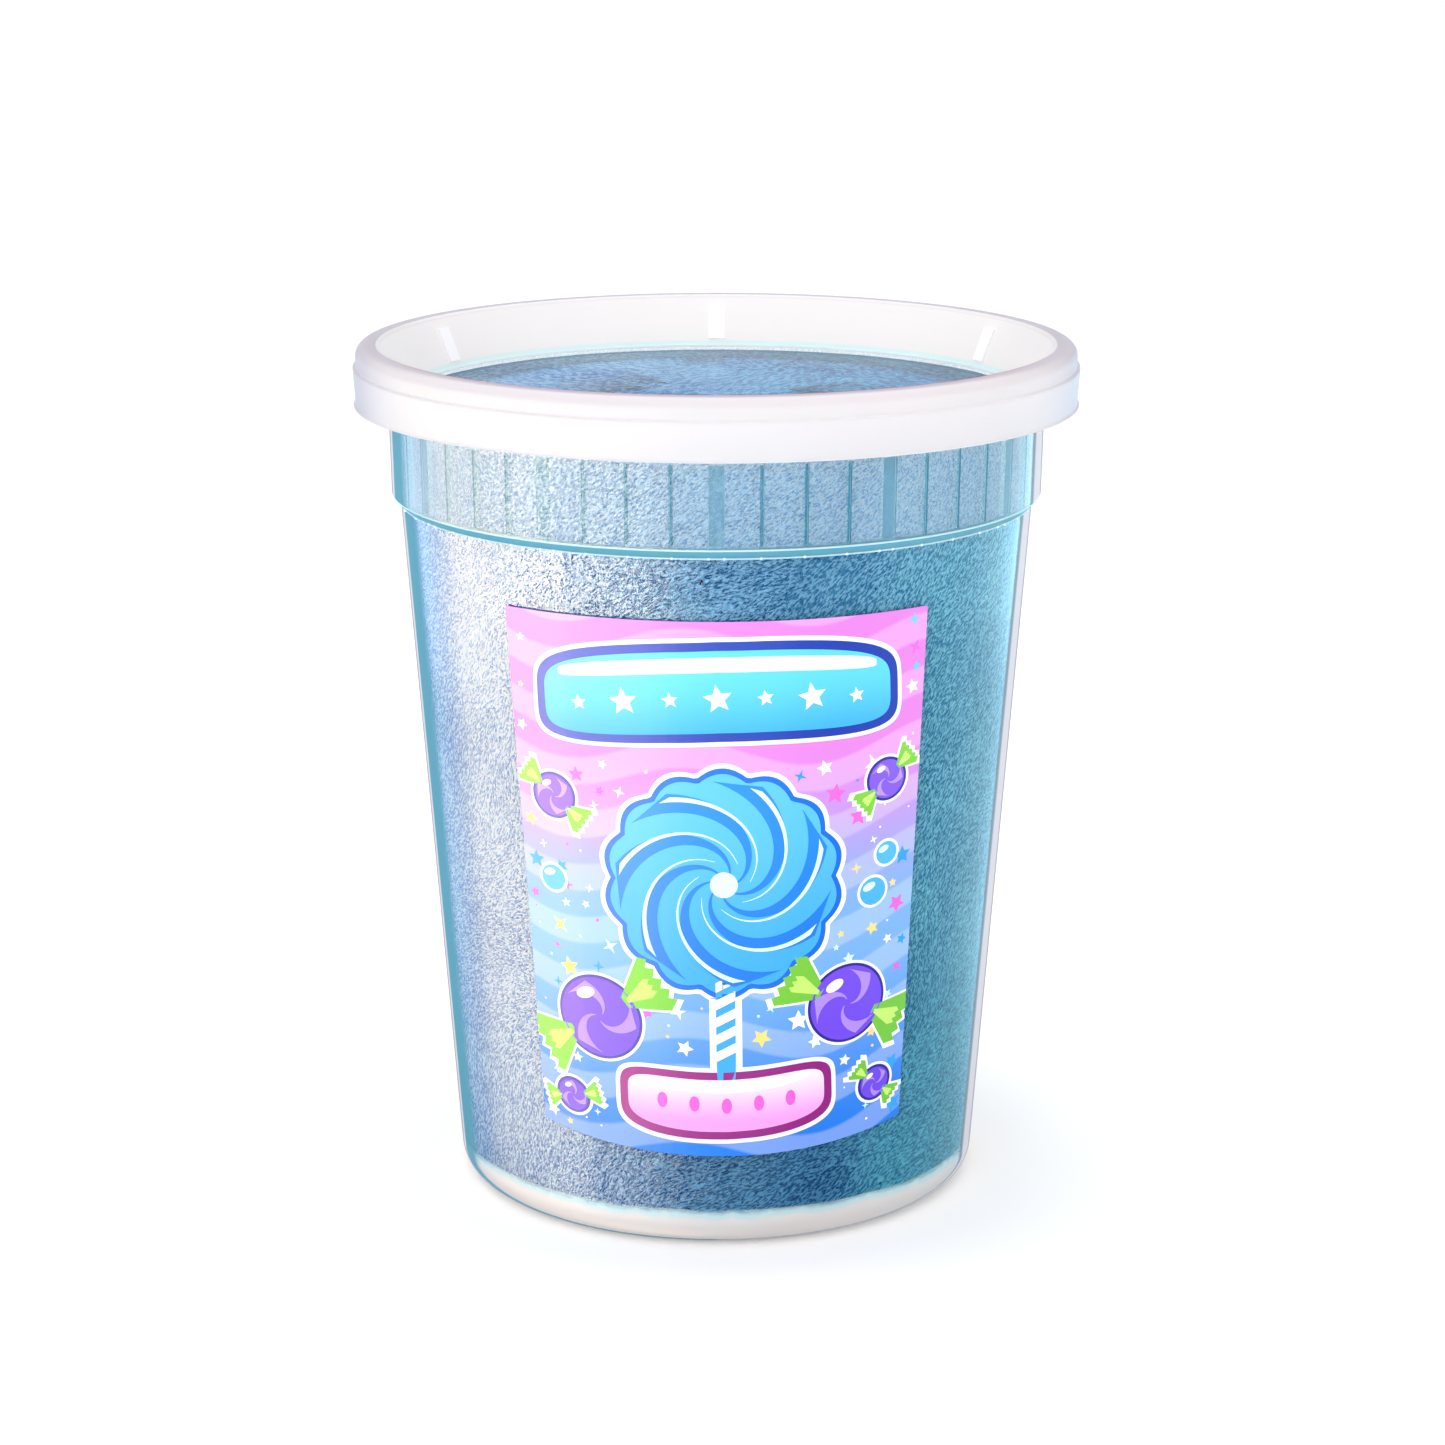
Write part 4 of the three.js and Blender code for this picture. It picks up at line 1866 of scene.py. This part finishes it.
def join_tubes(name: str, tubes: Sequence[np.ndarray], shades: Sequence[float], rings: int) -> Piece:
    """Joins equal tubes into one mesh object, with each tube's shade as an attribute.

    Args:
        name: The new object's name.
        tubes: Each tube's points, three a ring.
        shades: Each tube's shade from 0 to 1.
        rings: Rings in each tube.

    Returns:
        The new object.
    """
    quads = []
    for ring in range(rings - 1):
        for side in range(3):
            a, b = ring * 3 + side, ring * 3 + (side + 1) % 3
            quads.append((a, b, b + 3, a + 3))
    last = (rings - 1) * 3
    caps = [(0, 2, 1), (last, last + 1, last + 2)]
    faces = [
        tuple(i * rings * 3 + index for index in face) for i in range(len(tubes)) for face in (*quads, *caps)
    ]
    mesh = bpy.data.meshes.new(name)
    mesh.from_pydata(np.concatenate(tubes).tolist(), [], faces)
    attribute = mesh.attributes.new(SHADE, "FLOAT", "POINT")
    attribute.data.foreach_set("value", np.repeat(np.array(shades, np.float32), rings * 3))
    piece = bpy.data.objects.new(name, mesh)
    bpy.context.collection.objects.link(piece)
    with editing(piece, "FACE"):
        bpy.ops.mesh.select_all(action="SELECT")
        bpy.ops.mesh.normals_make_consistent(inside=False)
    smooth(piece, math.pi)
    return piece


# ---- label


class Layer(Enum):
    """The order in which the print lies on the label, from the ground up."""

    CONFETTI = 1
    KEYLINE = 2
    OUTLINE = 3
    BODY = 4
    DETAIL = 5
    LIGHT = 6


Shape = list[tuple[float, float]]


def oval(width: float, height: float, power: float = 2.0, points: int = 72) -> Shape:
    """Gives a superellipse round the origin.

    Args:
        width: Its width.
        height: Its height.
        power: 2 for an ellipse, and more for a squarer shape.
        points: How many points it has.

    Returns:
        The outline's points.
    """
    shape = []
    for i in range(points):
        angle = 2 * math.pi * i / points
        c, s = math.cos(angle), math.sin(angle)
        x = math.copysign(abs(c) ** (2 / power), c) * width / 2
        y = math.copysign(abs(s) ** (2 / power), s) * height / 2
        shape.append((x, y))
    return shape


def star(radius: float, tips: int = 5, waist: float = 0.45) -> Shape:
    """Gives a star round the origin.

    Args:
        radius: The reach of its tips.
        tips: How many tips it has.
        waist: The share of that reach between two tips.

    Returns:
        The outline's points.
    """
    shape = []
    for i in range(2 * tips):
        reach = radius if i % 2 == 0 else radius * waist
        angle = math.pi / 2 + math.pi * i / tips
        shape.append((reach * math.cos(angle), reach * math.sin(angle)))
    return shape


def scallop(radius: float, lobes: int, depth: float, points: int = 180) -> Shape:
    """Gives a disc round the origin with rounded lobes on its edge.

    Args:
        radius: The reach of its lobes.
        lobes: How many lobes it has.
        depth: The share of the radius by which its edge dips between two lobes.
        points: How many points it has.

    Returns:
        The outline's points.
    """
    shape = []
    for i in range(points):
        angle = 2 * math.pi * i / points
        reach = radius * (1 - depth * (1 - abs(math.sin(lobes * angle / 2))))
        shape.append((reach * math.cos(angle), reach * math.sin(angle)))
    return shape


def swirl_arm(
    inner: float, outer: float, start: float, spread: float, twist: float, steps: int = 26
) -> Shape:
    """Gives one curved arm of a pinwheel.

    Args:
        inner: Its inner radius.
        outer: Its outer radius.
        start: The angle where it begins, in radians.
        spread: The angle that it takes at its outer end; a quarter of this at its inner end.
        twist: The angle by which it turns on its way out.
        steps: Steps along each side.

    Returns:
        The outline's points.
    """
    sides = []
    for edge in (0.0, spread):
        side = []
        for i in range(steps + 1):
            share = i / steps
            radius = inner + (outer - inner) * share
            angle = start + edge * (0.25 + 0.75 * share) + twist * share**0.8
            side.append((radius * math.cos(angle), radius * math.sin(angle)))
        sides.append(side)
    return sides[0] + sides[1][::-1]


def banner(width: float, height: float, arch: float, points: int = 60) -> Shape:
    """Gives an arched plaque round the origin with round ends.

    Args:
        width: Its width.
        height: Its height.
        arch: How far its middle rises over its ends.
        points: Half as many points as it has.

    Returns:
        The outline's points.
    """
    shape = []
    for x, y in oval(width, height, 4.5, 2 * points):
        lift = arch * (1 - (2 * x / width) ** 2)
        shape.append((x, y + lift))
    return shape


def fan(width: float, length: float, pleats: int = 5) -> Shape:
    """Gives the pleated end of a sweet's wrapper, from the origin out along +X.

    Args:
        width: Its width at its end.
        length: How far it reaches.
        pleats: How many pleats it has.

    Returns:
        The outline's points.
    """
    shape = [(0.0, -width * 0.1), (length * 0.75, -width / 2)]
    for i in range(pleats):
        low = -width / 2 + width * i / pleats
        shape.append((length, low + width / pleats / 2))
        shape.append((length * 0.86, low + width / pleats))
    shape.append((0.0, width * 0.1))
    return shape


def moved(shape: Shape, x: float, y: float, turn: float = 0.0) -> Shape:
    """Turns a shape round the origin, in degrees, and moves it."""
    c, s = math.cos(math.radians(turn)), math.sin(math.radians(turn))
    return [(x + c * px - s * py, y + s * px + c * py) for px, py in shape]


@dataclass(frozen=True)
class Spot:
    """Where a motif lies, from the middle of the label's foot, with its radius and its turn in degrees."""

    x: float
    y: float
    radius: float
    turn: float = 0.0


@dataclass
class Label:
    """The printed sheet round the tub's front, drawn flat and then bent round the wall."""

    tub: Tub
    top: float = 103.5
    foot: float = 16.0
    bow: float = 3.2
    half_angle: float = math.radians(39.5)
    skew: float = math.radians(1.6)
    clear: float = 0.3
    thick: float = 0.18
    layer_step: float = 0.02
    strip: float = 2.0
    map_width: float = 70.0
    confetti: int = 150
    confetti_sizes: tuple[float, float] = (0.3, 1.8)
    confetti_gap: float = 0.9
    margin: float = 1.5
    plaques: tuple[tuple[float, float, float], ...] = ((75.5, 11.5, 31.5), (9.5, 8.5, 19.5))
    whirl_margin: float = 2.5
    seed: int = 5
    whirl: Spot = Spot(0.5, 45.5, 18.0)
    sweets: tuple[Spot, ...] = (
        Spot(-19.5, 21.5, 6.6, 38),
        Spot(20.0, 23.5, 6.2, -30),
        Spot(-26.5, 57.5, 3.4, -35),
        Spot(27.0, 60.0, 3.2, 40),
        Spot(-24.5, 6.5, 2.6, 20),
        Spot(25.0, 8.0, 2.6, -45),
    )
    bubbles: tuple[Spot, ...] = (Spot(-27.0, 43.5, 2.1), Spot(27.0, 47.5, 1.9), Spot(24.5, 41.5, 2.3))
    shapes: list[Piece] = field(default_factory=list)
    inks: dict[str, int] = field(default_factory=dict)
    piece: Piece = field(init=False)

    def height(self) -> float:
        """Gives the sheet's height at its middle."""
        return self.top - self.foot

    def half_width(self, y: float) -> float:
        """Gives half the sheet's width at a height on it."""
        return self.tub.wall_radius(self.foot + y) * self.half_angle

    def cut(self, shape: Shape, ink_name: str, layer: Layer | None) -> None:
        """Cuts a flat shape, at its place on the label, in one ink.

        Args:
            shape: The outline.
            ink_name: The ink's name among the inks.
            layer: The layer that it lies on, or none for the sheet itself.
        """
        clear_selection()
        bpy.ops.mesh.primitive_circle_add(vertices=len(shape), radius=1.0, fill_type="NGON")
        piece = bpy.context.active_object
        level = layer.value * self.layer_step if layer else 0.0
        for vertex, (x, y) in zip(piece.data.vertices, shape):
            vertex.co = (x, y, level)
        if piece.data.polygons[0].normal.z < 0:
            piece.data.flip_normals()
        number = self.inks.setdefault(ink_name, len(self.inks))
        mark = piece.data.attributes.new(INK_MARK, "INT", "FACE")
        mark.data[0].value = number
        self.shapes.append(piece)

    def stack(self, make: Callable[[float], Shape], coats: Sequence[tuple[str, Layer, float]]) -> None:
        """Cuts the same shape in several coats, each grown by its own margin.

        Args:
            make: Gives the shape for a margin in millimetres.
            coats: Each coat's ink, layer and margin.
        """
        for ink_name, layer, margin in coats:
            self.cut(make(margin), ink_name, layer)

    def draw_ground(self) -> None:
        """Draws the whole sheet."""
        side = [self.height() * i / 12 for i in range(13)]
        right = [(self.half_width(y), y) for y in side]
        left = [(-x, y) for x, y in reversed(right)]
        self.cut(right + left, "ground", None)

    def draw_plaques(self) -> None:
        """Draws the two bare plaques."""
        self.stack(
            lambda grow: moved(banner(55 + grow, 13.0 + grow, 2.0), 0, 74.5, 1.5),
            [("white", Layer.KEYLINE, 4.2), ("navy", Layer.OUTLINE, 2.8), ("cyan", Layer.BODY, 0.0)],
        )
        self.cut(moved(banner(50, 2.4, 1.8), 0, 79.0, 1.5), "ice", Layer.DETAIL)
        for i in range(-3, 4):
            x = 7.2 * i
            size = 2.3 if i % 2 == 0 else 1.3
            y = 73.4 + 2.0 * (1 - (x / 27.5) ** 2) + x * math.tan(math.radians(1.5))
            self.cut(moved(star(size), x, y, 8), "white", Layer.LIGHT)
        self.stack(
            lambda grow: moved(banner(31 + grow, 8.8 + grow, -1.2), 0.5, 9.8, 1.0),
            [("white", Layer.KEYLINE, 4.0), ("magenta", Layer.OUTLINE, 2.6), ("pink", Layer.BODY, 0.0)],
        )
        self.cut(moved(banner(26, 1.6, -1.1), 0.5, 12.7, 1.0), "white", Layer.DETAIL)
        for i in range(-2, 3):
            self.cut(moved(oval(1.6, 2.6), 0.5 + 5.0 * i, 8.6 + 0.3 * abs(i)), "rose", Layer.DETAIL)

    def draw_lollipop(self) -> None:
        """Draws the big pinwheel of floss on a striped stick in the middle."""
        x, y, radius = self.whirl.x, self.whirl.y, self.whirl.radius
        self.cut(moved(oval(5.0, 22.0, 6.0), x, y - radius - 5.5), "white", Layer.KEYLINE)
        self.cut(moved(oval(3.0, 20.0, 6.0), x, y - radius - 5.5), "sky", Layer.OUTLINE)
        for i in range(5):
            slash = [(-1.5, -0.9), (1.5, 0.7), (1.5, 2.3), (-1.5, 0.7)]
            self.cut(moved(slash, x, y - radius - 10.5 + 2.9 * i), "white", Layer.BODY)
        self.stack(
            lambda grow: moved(scallop(radius + grow, 14, 0.07), x, y),
            [("white", Layer.KEYLINE, 1.7), ("blue", Layer.OUTLINE, 0.9), ("sky", Layer.BODY, 0.0)],
        )
        arms = 7
        for i in range(arms):
            start = 2 * math.pi * i / arms
            self.cut(moved(swirl_arm(1.6, 16.9, start, 0.46, 2.1), x, y), "azure", Layer.DETAIL)
            self.cut(moved(swirl_arm(4.0, 16.2, start + 0.09, 0.12, 2.0), x, y), "ice", Layer.LIGHT)
        self.cut(moved(oval(4.2, 4.2), x, y), "ice", Layer.LIGHT)

    def draw_sweet(self, spot: Spot) -> None:
        """Draws a round violet sweet in a green wrapper.

        Args:
            spot: Where it lies.
        """
        x, y, radius, turn = spot.x, spot.y, spot.radius, spot.turn
        for side in (0, 180):
            ends = (
                (radius * 1.5 + 1.6, radius * 1.15 + 1.0, 5, radius * 0.82 - 0.3, "white", Layer.KEYLINE),
                (radius * 1.5, radius * 1.15, 5, radius * 0.82, "green", Layer.BODY),
                (radius * 0.5, radius * 0.8, 3, radius * 0.9, "lime", Layer.DETAIL),
            )
            for width, length, pleats, start, ink_name, layer in ends:
                end = moved(moved(fan(width, length, pleats), start, 0), 0, 0, side)
                self.cut(moved(end, x, y, turn), ink_name, layer)
        self.stack(
            lambda grow: moved(oval(2 * radius + grow, 2 * radius + grow), x, y),
            [("white", Layer.KEYLINE, 1.8), ("indigo", Layer.OUTLINE, 0.9), ("violet", Layer.BODY, 0.0)],
        )
        for i in range(3):
            arm = swirl_arm(radius * 0.1, radius * 0.93, 2 * math.pi * i / 3, 0.75, 1.3, 14)
            self.cut(moved(arm, x, y, turn), "lilac", Layer.DETAIL)
        shine = moved(oval(radius * 0.5, radius * 0.28), -radius * 0.35, radius * 0.55, 25)
        self.cut(moved(shine, x, y), "white", Layer.LIGHT)

    def draw_bubble(self, spot: Spot) -> None:
        """Draws a small pale blue gumball.

        Args:
            spot: Where it lies.
        """
        x, y, radius = spot.x, spot.y, spot.radius
        self.cut(moved(oval(2 * radius + 0.9, 2 * radius + 0.9), x, y), "white", Layer.KEYLINE)
        self.cut(moved(oval(2 * radius, 2 * radius), x, y), "sky", Layer.BODY)
        shine = oval(radius, radius * 0.55)
        self.cut(moved(shine, x - radius * 0.3, y + radius * 0.4, 20), "ice", Layer.DETAIL)

    def draw_confetti(self) -> None:
        """Scatters small stars and dots where the ground is bare."""
        rng = np.random.default_rng(self.seed)
        taken: list[Spot] = []
        for _ in range(self.confetti * 8):
            if len(taken) >= self.confetti:
                break
            y = float(rng.uniform(self.margin, self.height() - self.margin))
            x = float(rng.uniform(-1, 1)) * (self.half_width(y) - self.margin)
            size = float(rng.uniform(*self.confetti_sizes))
            gap = size + self.confetti_gap
            if self.is_busy(x, y) or any(math.hypot(x - s.x, y - s.y) < gap + s.radius for s in taken):
                continue
            taken.append(Spot(x, y, size))
            colour = ("white", "white", "rose", "cyan", "lemon", "ice")[int(rng.integers(0, 6))]
            tips, waist = (4, 0.3) if rng.random() < 0.35 else (5, 0.48)
            shape = oval(size, size, points=12) if size < 0.55 else star(size, tips, waist)
            self.cut(moved(shape, x, y, float(rng.uniform(0, 90))), colour, Layer.CONFETTI)

    def is_busy(self, x: float, y: float) -> bool:
        """Says whether a plaque or the pinwheel lies at a place on the label."""
        on_plaque = any(abs(y - middle) < tall and abs(x) < wide for middle, tall, wide in self.plaques)
        from_whirl = math.hypot(x - self.whirl.x, y - self.whirl.y)
        return on_plaque or from_whirl < self.whirl.radius + self.whirl_margin

    def build(self) -> None:
        """Draws all the print, joins it and bends it round the tub."""
        self.draw_ground()
        self.draw_plaques()
        self.draw_lollipop()
        self.draw_confetti()
        for spot in self.sweets:
            self.draw_sweet(spot)
        for spot in self.bubbles:
            self.draw_bubble(spot)
        self.join_print()
        self.bend()

    def join_print(self) -> None:
        """Joins the cut shapes into one flat piece, with its map, its inks and its thickness."""
        pick(*self.shapes)
        bpy.ops.object.join()
        self.piece = bpy.context.active_object
        self.piece.name = self.piece.data.name = "label_print"
        with editing(self.piece, "FACE"):
            bpy.ops.mesh.select_all(action="SELECT")
            bpy.ops.mesh.quads_convert_to_tris(quad_method="BEAUTY", ngon_method="BEAUTY")
            reach = math.ceil(self.half_width(self.height()) / self.strip)
            for k in range(-reach + 1, reach):
                bpy.ops.mesh.select_all(action="SELECT")
                bpy.ops.mesh.bisect(plane_co=(k * self.strip, 0, 0), plane_no=(1, 0, 0))
            lean = (self.half_width(self.height()) - self.half_width(0)) / self.height()
            edges = (
                ((self.half_width(0), 0, 0), (1, -lean, 0)),
                ((-self.half_width(0), 0, 0), (-1, -lean, 0)),
                ((0, self.height(), 0), (0, 1, 0)),
                ((0, 0, 0), (0, -1, 0)),
            )
            for place, facing in edges:
                bpy.ops.mesh.select_all(action="SELECT")
                bpy.ops.mesh.bisect(plane_co=place, plane_no=facing, clear_outer=True)
        mesh = self.piece.data
        while mesh.uv_layers:
            mesh.uv_layers.remove(mesh.uv_layers[0])
        layer = mesh.uv_layers.new(name=PRINT_MAP)
        for loop in mesh.loops:
            place = mesh.vertices[loop.vertex_index].co
            layer.data[loop.index].uv = (place.x / self.map_width + 0.5, place.y / self.height())
        modify(self.piece, "SOLIDIFY", thickness=self.thick, offset=-1)

    def bend(self) -> None:
        """Bends the flat print round the tub's wall."""
        for vertex in self.piece.data.vertices:
            x, y, z = vertex.co
            share = y / self.height()
            across = x / self.half_width(y)
            height = self.foot + y + self.bow * across * across * (1 - share)
            radius = self.tub.wall_radius(height) + self.clear + self.thick + z
            angle = x / self.tub.wall_radius(height) + self.skew * (1 - share)
            vertex.co = Vector((radius * math.sin(angle), -radius * math.cos(angle), height)) * MM

    def dress(self, moulding: Group) -> None:
        """Gives each ink its material.

        Args:
            moulding: The group of moulded unevenness.
        """
        coat(self.piece, [INKS[name].material(moulding) for name in self.inks])
        marks = self.piece.data.attributes[INK_MARK].data
        for face, mark in zip(self.piece.data.polygons, marks):
            face.material_index = mark.value
        attach(self.piece, "label")


INK_FADES = {
    "white": ("F7F4FC", "FFFFFF", 0.0, 1.0),
    "navy": ("1C2A8C", "2438A8", 0.0, 1.0),
    "blue": ("0E62CE", "1670DC", 0.0, 1.0),
    "azure": ("1872DC", "288AEC", 0.3, 0.75),
    "cyan": ("2E9BF0", "63D2FA", 0.74, 0.92),
    "sky": ("3CA2F0", "60C0F8", 0.3, 0.75),
    "ice": ("C6F2FE", "E4FAFF", 0.0, 1.0),
    "magenta": ("8E1276", "A81C8A", 0.0, 1.0),
    "pink": ("F79ADF", "FFE3F4", 0.06, 0.16),
    "rose": ("E65CCB", "E56CD4", 0.0, 1.0),
    "violet": ("6A3EDB", "8A5CEB", 0.0, 1.0),
    "indigo": ("2B1A86", "3A2498", 0.0, 1.0),
    "lilac": ("A983F6", "B897F8", 0.0, 1.0),
    "green": ("6FB92E", "86CF3A", 0.0, 1.0),
    "lime": ("BDE868", "C8EE78", 0.0, 1.0),
    "lemon": ("FFD66B", "FFE08A", 0.0, 1.0),
}
INKS = {
    name: PrintInk(f"{name} ink", ink(lower), ink(upper), start, end)
    for name, (lower, upper, start, end) in INK_FADES.items()
}
INKS["ground"] = PrintInk(
    "ground ink",
    ink("1C74DC"),
    ink("E080DA"),
    to_share=0.8,
    wave_lift=0.16,
    middle=ink("78AAEE"),
    middle_share=0.42,
)


# ---- studio


@dataclass(frozen=True)
class SoftBox:
    """A rectangular studio light: its place, what it faces, its size in metres and its power in watts."""

    name: str
    place: tuple[float, float, float]
    facing: tuple[float, float, float]
    width: float
    height: float
    power: float

    def build(self) -> None:
        """Adds the light, which doesn't show in reflections."""
        bpy.ops.object.light_add(type="AREA", location=self.place)
        lamp = bpy.context.active_object
        lamp.name = self.name
        lamp.data.shape = "RECTANGLE"
        lamp.data.size = self.width
        lamp.data.size_y = self.height
        lamp.data.energy = self.power
        toward = Vector(self.facing) - Vector(self.place)
        lamp.rotation_euler = toward.to_track_quat("-Z", "Y").to_euler()
        lamp.visible_camera = False
        lamp.visible_glossy = False


@dataclass(frozen=True)
class Glow:
    """How bright the surround shines in one compass direction, as glossy surfaces mirror it.

    The direction is in degrees from the front, with the left below 0 and the right above it.
    """

    direction: float
    red: float
    green: float
    blue: float


@dataclass(frozen=True)
class Level:
    """What share of the glow there is at a height of the mirrored direction: 0 is level, -1 straight down."""

    height: float
    share: float


@dataclass(frozen=True)
class Surround:
    """The white surround: plain for the camera, and for glossy surfaces a window at the left."""

    strength: float = 24.0
    sky: float = 0.14
    glows: tuple[Glow, ...] = (
        Glow(-180, 0.05, 0.09, 0.12),
        Glow(-160, 0.04, 0.07, 0.09),
        Glow(-146, 0.03, 0.05, 0.08),
        Glow(-135, 0.1, 0.135, 0.17),
        Glow(-126, 0.15, 0.165, 0.19),
        Glow(-118, 0.265, 0.25, 0.225),
        Glow(-111, 0.48, 0.415, 0.33),
        Glow(-103, 0.65, 0.56, 0.41),
        Glow(-93, 0.81, 0.69, 0.51),
        Glow(-83, 1.05, 0.9, 0.67),
        Glow(-66, 1.32, 1.15, 0.9),
        Glow(-59, 1.38, 1.2, 0.96),
        Glow(-57, 1.04, 0.98, 0.82),
        Glow(-43, 1.0, 0.95, 0.79),
        Glow(-27, 0.8, 0.8, 0.69),
        Glow(-12, 0.34, 0.42, 0.42),
        Glow(3, 0.165, 0.28, 0.33),
        Glow(19, 0.12, 0.25, 0.29),
        Glow(34, 0.023, 0.11, 0.14),
        Glow(50, 0.01, 0.07, 0.11),
        Glow(68, 0.05, 0.13, 0.18),
        Glow(104, 0.08, 0.145, 0.19),
        Glow(124, 0.08, 0.13, 0.155),
        Glow(144, 0.084, 0.138, 0.168),
        Glow(180, 0.05, 0.09, 0.12),
    )
    levels: tuple[Level, ...] = (
        Level(-0.52, 0.25),
        Level(-0.49, 0.4),
        Level(-0.45, 0.6),
        Level(-0.39, 0.64),
        Level(-0.36, 1.0),
        Level(-0.33, 1.0),
        Level(-0.28, 0.55),
        Level(0.0, 0.55),
    )
    sag: float = 0.0179
    sky_tint: Colour = (0.8, 0.92, 1.0, 1.0)
    sky_from: float = -0.05
    sky_full: float = 0.2
    through: float = 0.85
    through_tint: Colour = (0.9, 0.87, 0.94, 1.0)

    def build(self) -> None:
        """Makes the world: what is seen, what glossy surfaces mirror and what shows through plastic."""
        world = bpy.data.worlds.new("studio")
        world.use_nodes = True
        bpy.context.scene.world = world
        tree = Tree(world.node_tree)
        x, y, z = tree.parts(tree.add("TexCoord").outputs["Generated"])
        turn = tree.math("ARCTAN2", x, tree.times(y, -1.0))
        around = [((g.direction + 180) / 360, (g.red, g.green, g.blue, 1.0)) for g in self.glows]
        colour = self.ramp(tree, tree.times(turn, 0.5 / math.pi, 0.5), around)
        drop = tree.times(tree.times(turn, turn), -self.sag, z)
        upright = [(level.height + 1, (level.share, level.share, level.share, 1.0)) for level in self.levels]
        glow = self.ramp(tree, tree.math("ADD", drop, 1.0), upright)
        above = tree.spread(z, self.sky_from, self.sky_full)
        strength = tree.times(glow, tree.times(above, -self.strength, self.strength))
        mirrored = tree.add("Background", {"Color": colour, "Strength": strength})
        sky = tree.add("Background", {"Color": self.sky_tint, "Strength": tree.times(above, self.sky)})
        both = tree.fill(tree.add("AddShader"), (mirrored.outputs[0], sky.outputs[0]))
        seen = tree.add("Background", {"Color": WHITE, "Strength": 1.0})
        through = tree.add("Background", {"Color": self.through_tint, "Strength": self.through})
        paths = tree.add("LightPath").outputs
        shown = tree.mix_shaders(paths["Is Glossy Ray"], seen.outputs[0], both)
        shown = tree.mix_shaders(paths["Is Transmission Ray"], shown, through.outputs[0])
        tree.add("OutputWorld", {"Surface": shown})

    @staticmethod
    def ramp(tree: Tree, value: Socket, stops: Sequence[tuple[float, Colour]]) -> Socket:
        """Adds a Color Ramp node.

        Args:
            tree: The world's tree.
            value: What the ramp reads, from 0 to 1.
            stops: Each stop's place and colour, in order.

        Returns:
            The ramp's colour.
        """
        node = tree.add("ValToRGB")
        elements = node.color_ramp.elements
        while len(elements) < len(stops):
            elements.new(1.0)
        for element, (place, colour) in zip(elements, stops):
            element.position = place
            element.color = colour
        return tree.fill(node, [value])


@dataclass
class Studio:
    """The pale floor, the soft lights and the camera."""

    camera_place: tuple[float, float, float] = (0.0, -0.600, 0.2276)
    camera_pitch: float = 14.26
    lens: float = 93.7
    sensor: float = 36.0
    shift: float = 0.0042
    nearest: float = 0.01
    floor_size: float = 24.0
    boxes: tuple[SoftBox, ...] = (
        SoftBox("top box", (-0.1, 0.1, 0.9), (0, 0, 0), width=0.9, height=0.9, power=4.0),
        SoftBox("front fill", (-0.1, -1.3, 0.7), (0, 0, 0.07), width=1.4, height=0.8, power=5.0),
    )

    def build(self) -> None:
        """Adds everything round the object."""
        self.add_floor()
        self.add_camera()
        Surround().build()
        for box in self.boxes:
            box.build()
        bpy.context.scene.view_settings.view_transform = "Standard"

    def add_floor(self) -> None:
        """Adds the pale floor, which glossy surfaces don't mirror."""
        clear_selection()
        bpy.ops.mesh.primitive_plane_add(size=self.floor_size)
        floor = bpy.context.active_object
        floor.name = "floor"
        floor.visible_glossy = False
        coat(floor, [FloorFinish("pale floor").material()])

    def add_camera(self) -> None:
        """Adds the camera in front of the label, a little above it."""
        pitch = math.radians(90 - self.camera_pitch)
        bpy.ops.object.camera_add(location=self.camera_place, rotation=(pitch, 0, 0))
        camera = bpy.context.active_object
        camera.data.lens = self.lens
        camera.data.sensor_width = self.sensor
        camera.data.shift_x = self.shift
        camera.data.clip_start = self.nearest
        bpy.context.scene.camera = camera


def main() -> None:
    """Loads the frame, builds and dresses each piece, and notes the sizes."""
    logging.basicConfig(level=logging.INFO, format="%(name)s: %(message)s")
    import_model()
    moulding = Moulding().group()
    fibres = Fibres().group()

    tub = Tub()
    tub.build()
    tub.dress(moulding)

    lid = Lid()
    lid.build()
    lid.dress(moulding)

    candy = Candy()
    candy.build()
    for lot in THREAD_LOTS:
        candy.lay(lot)
    candy.dress(fibres)

    label = Label(tub)
    label.build()
    label.dress(moulding)

    Studio().build()


if __name__ == "__main__":
    main()
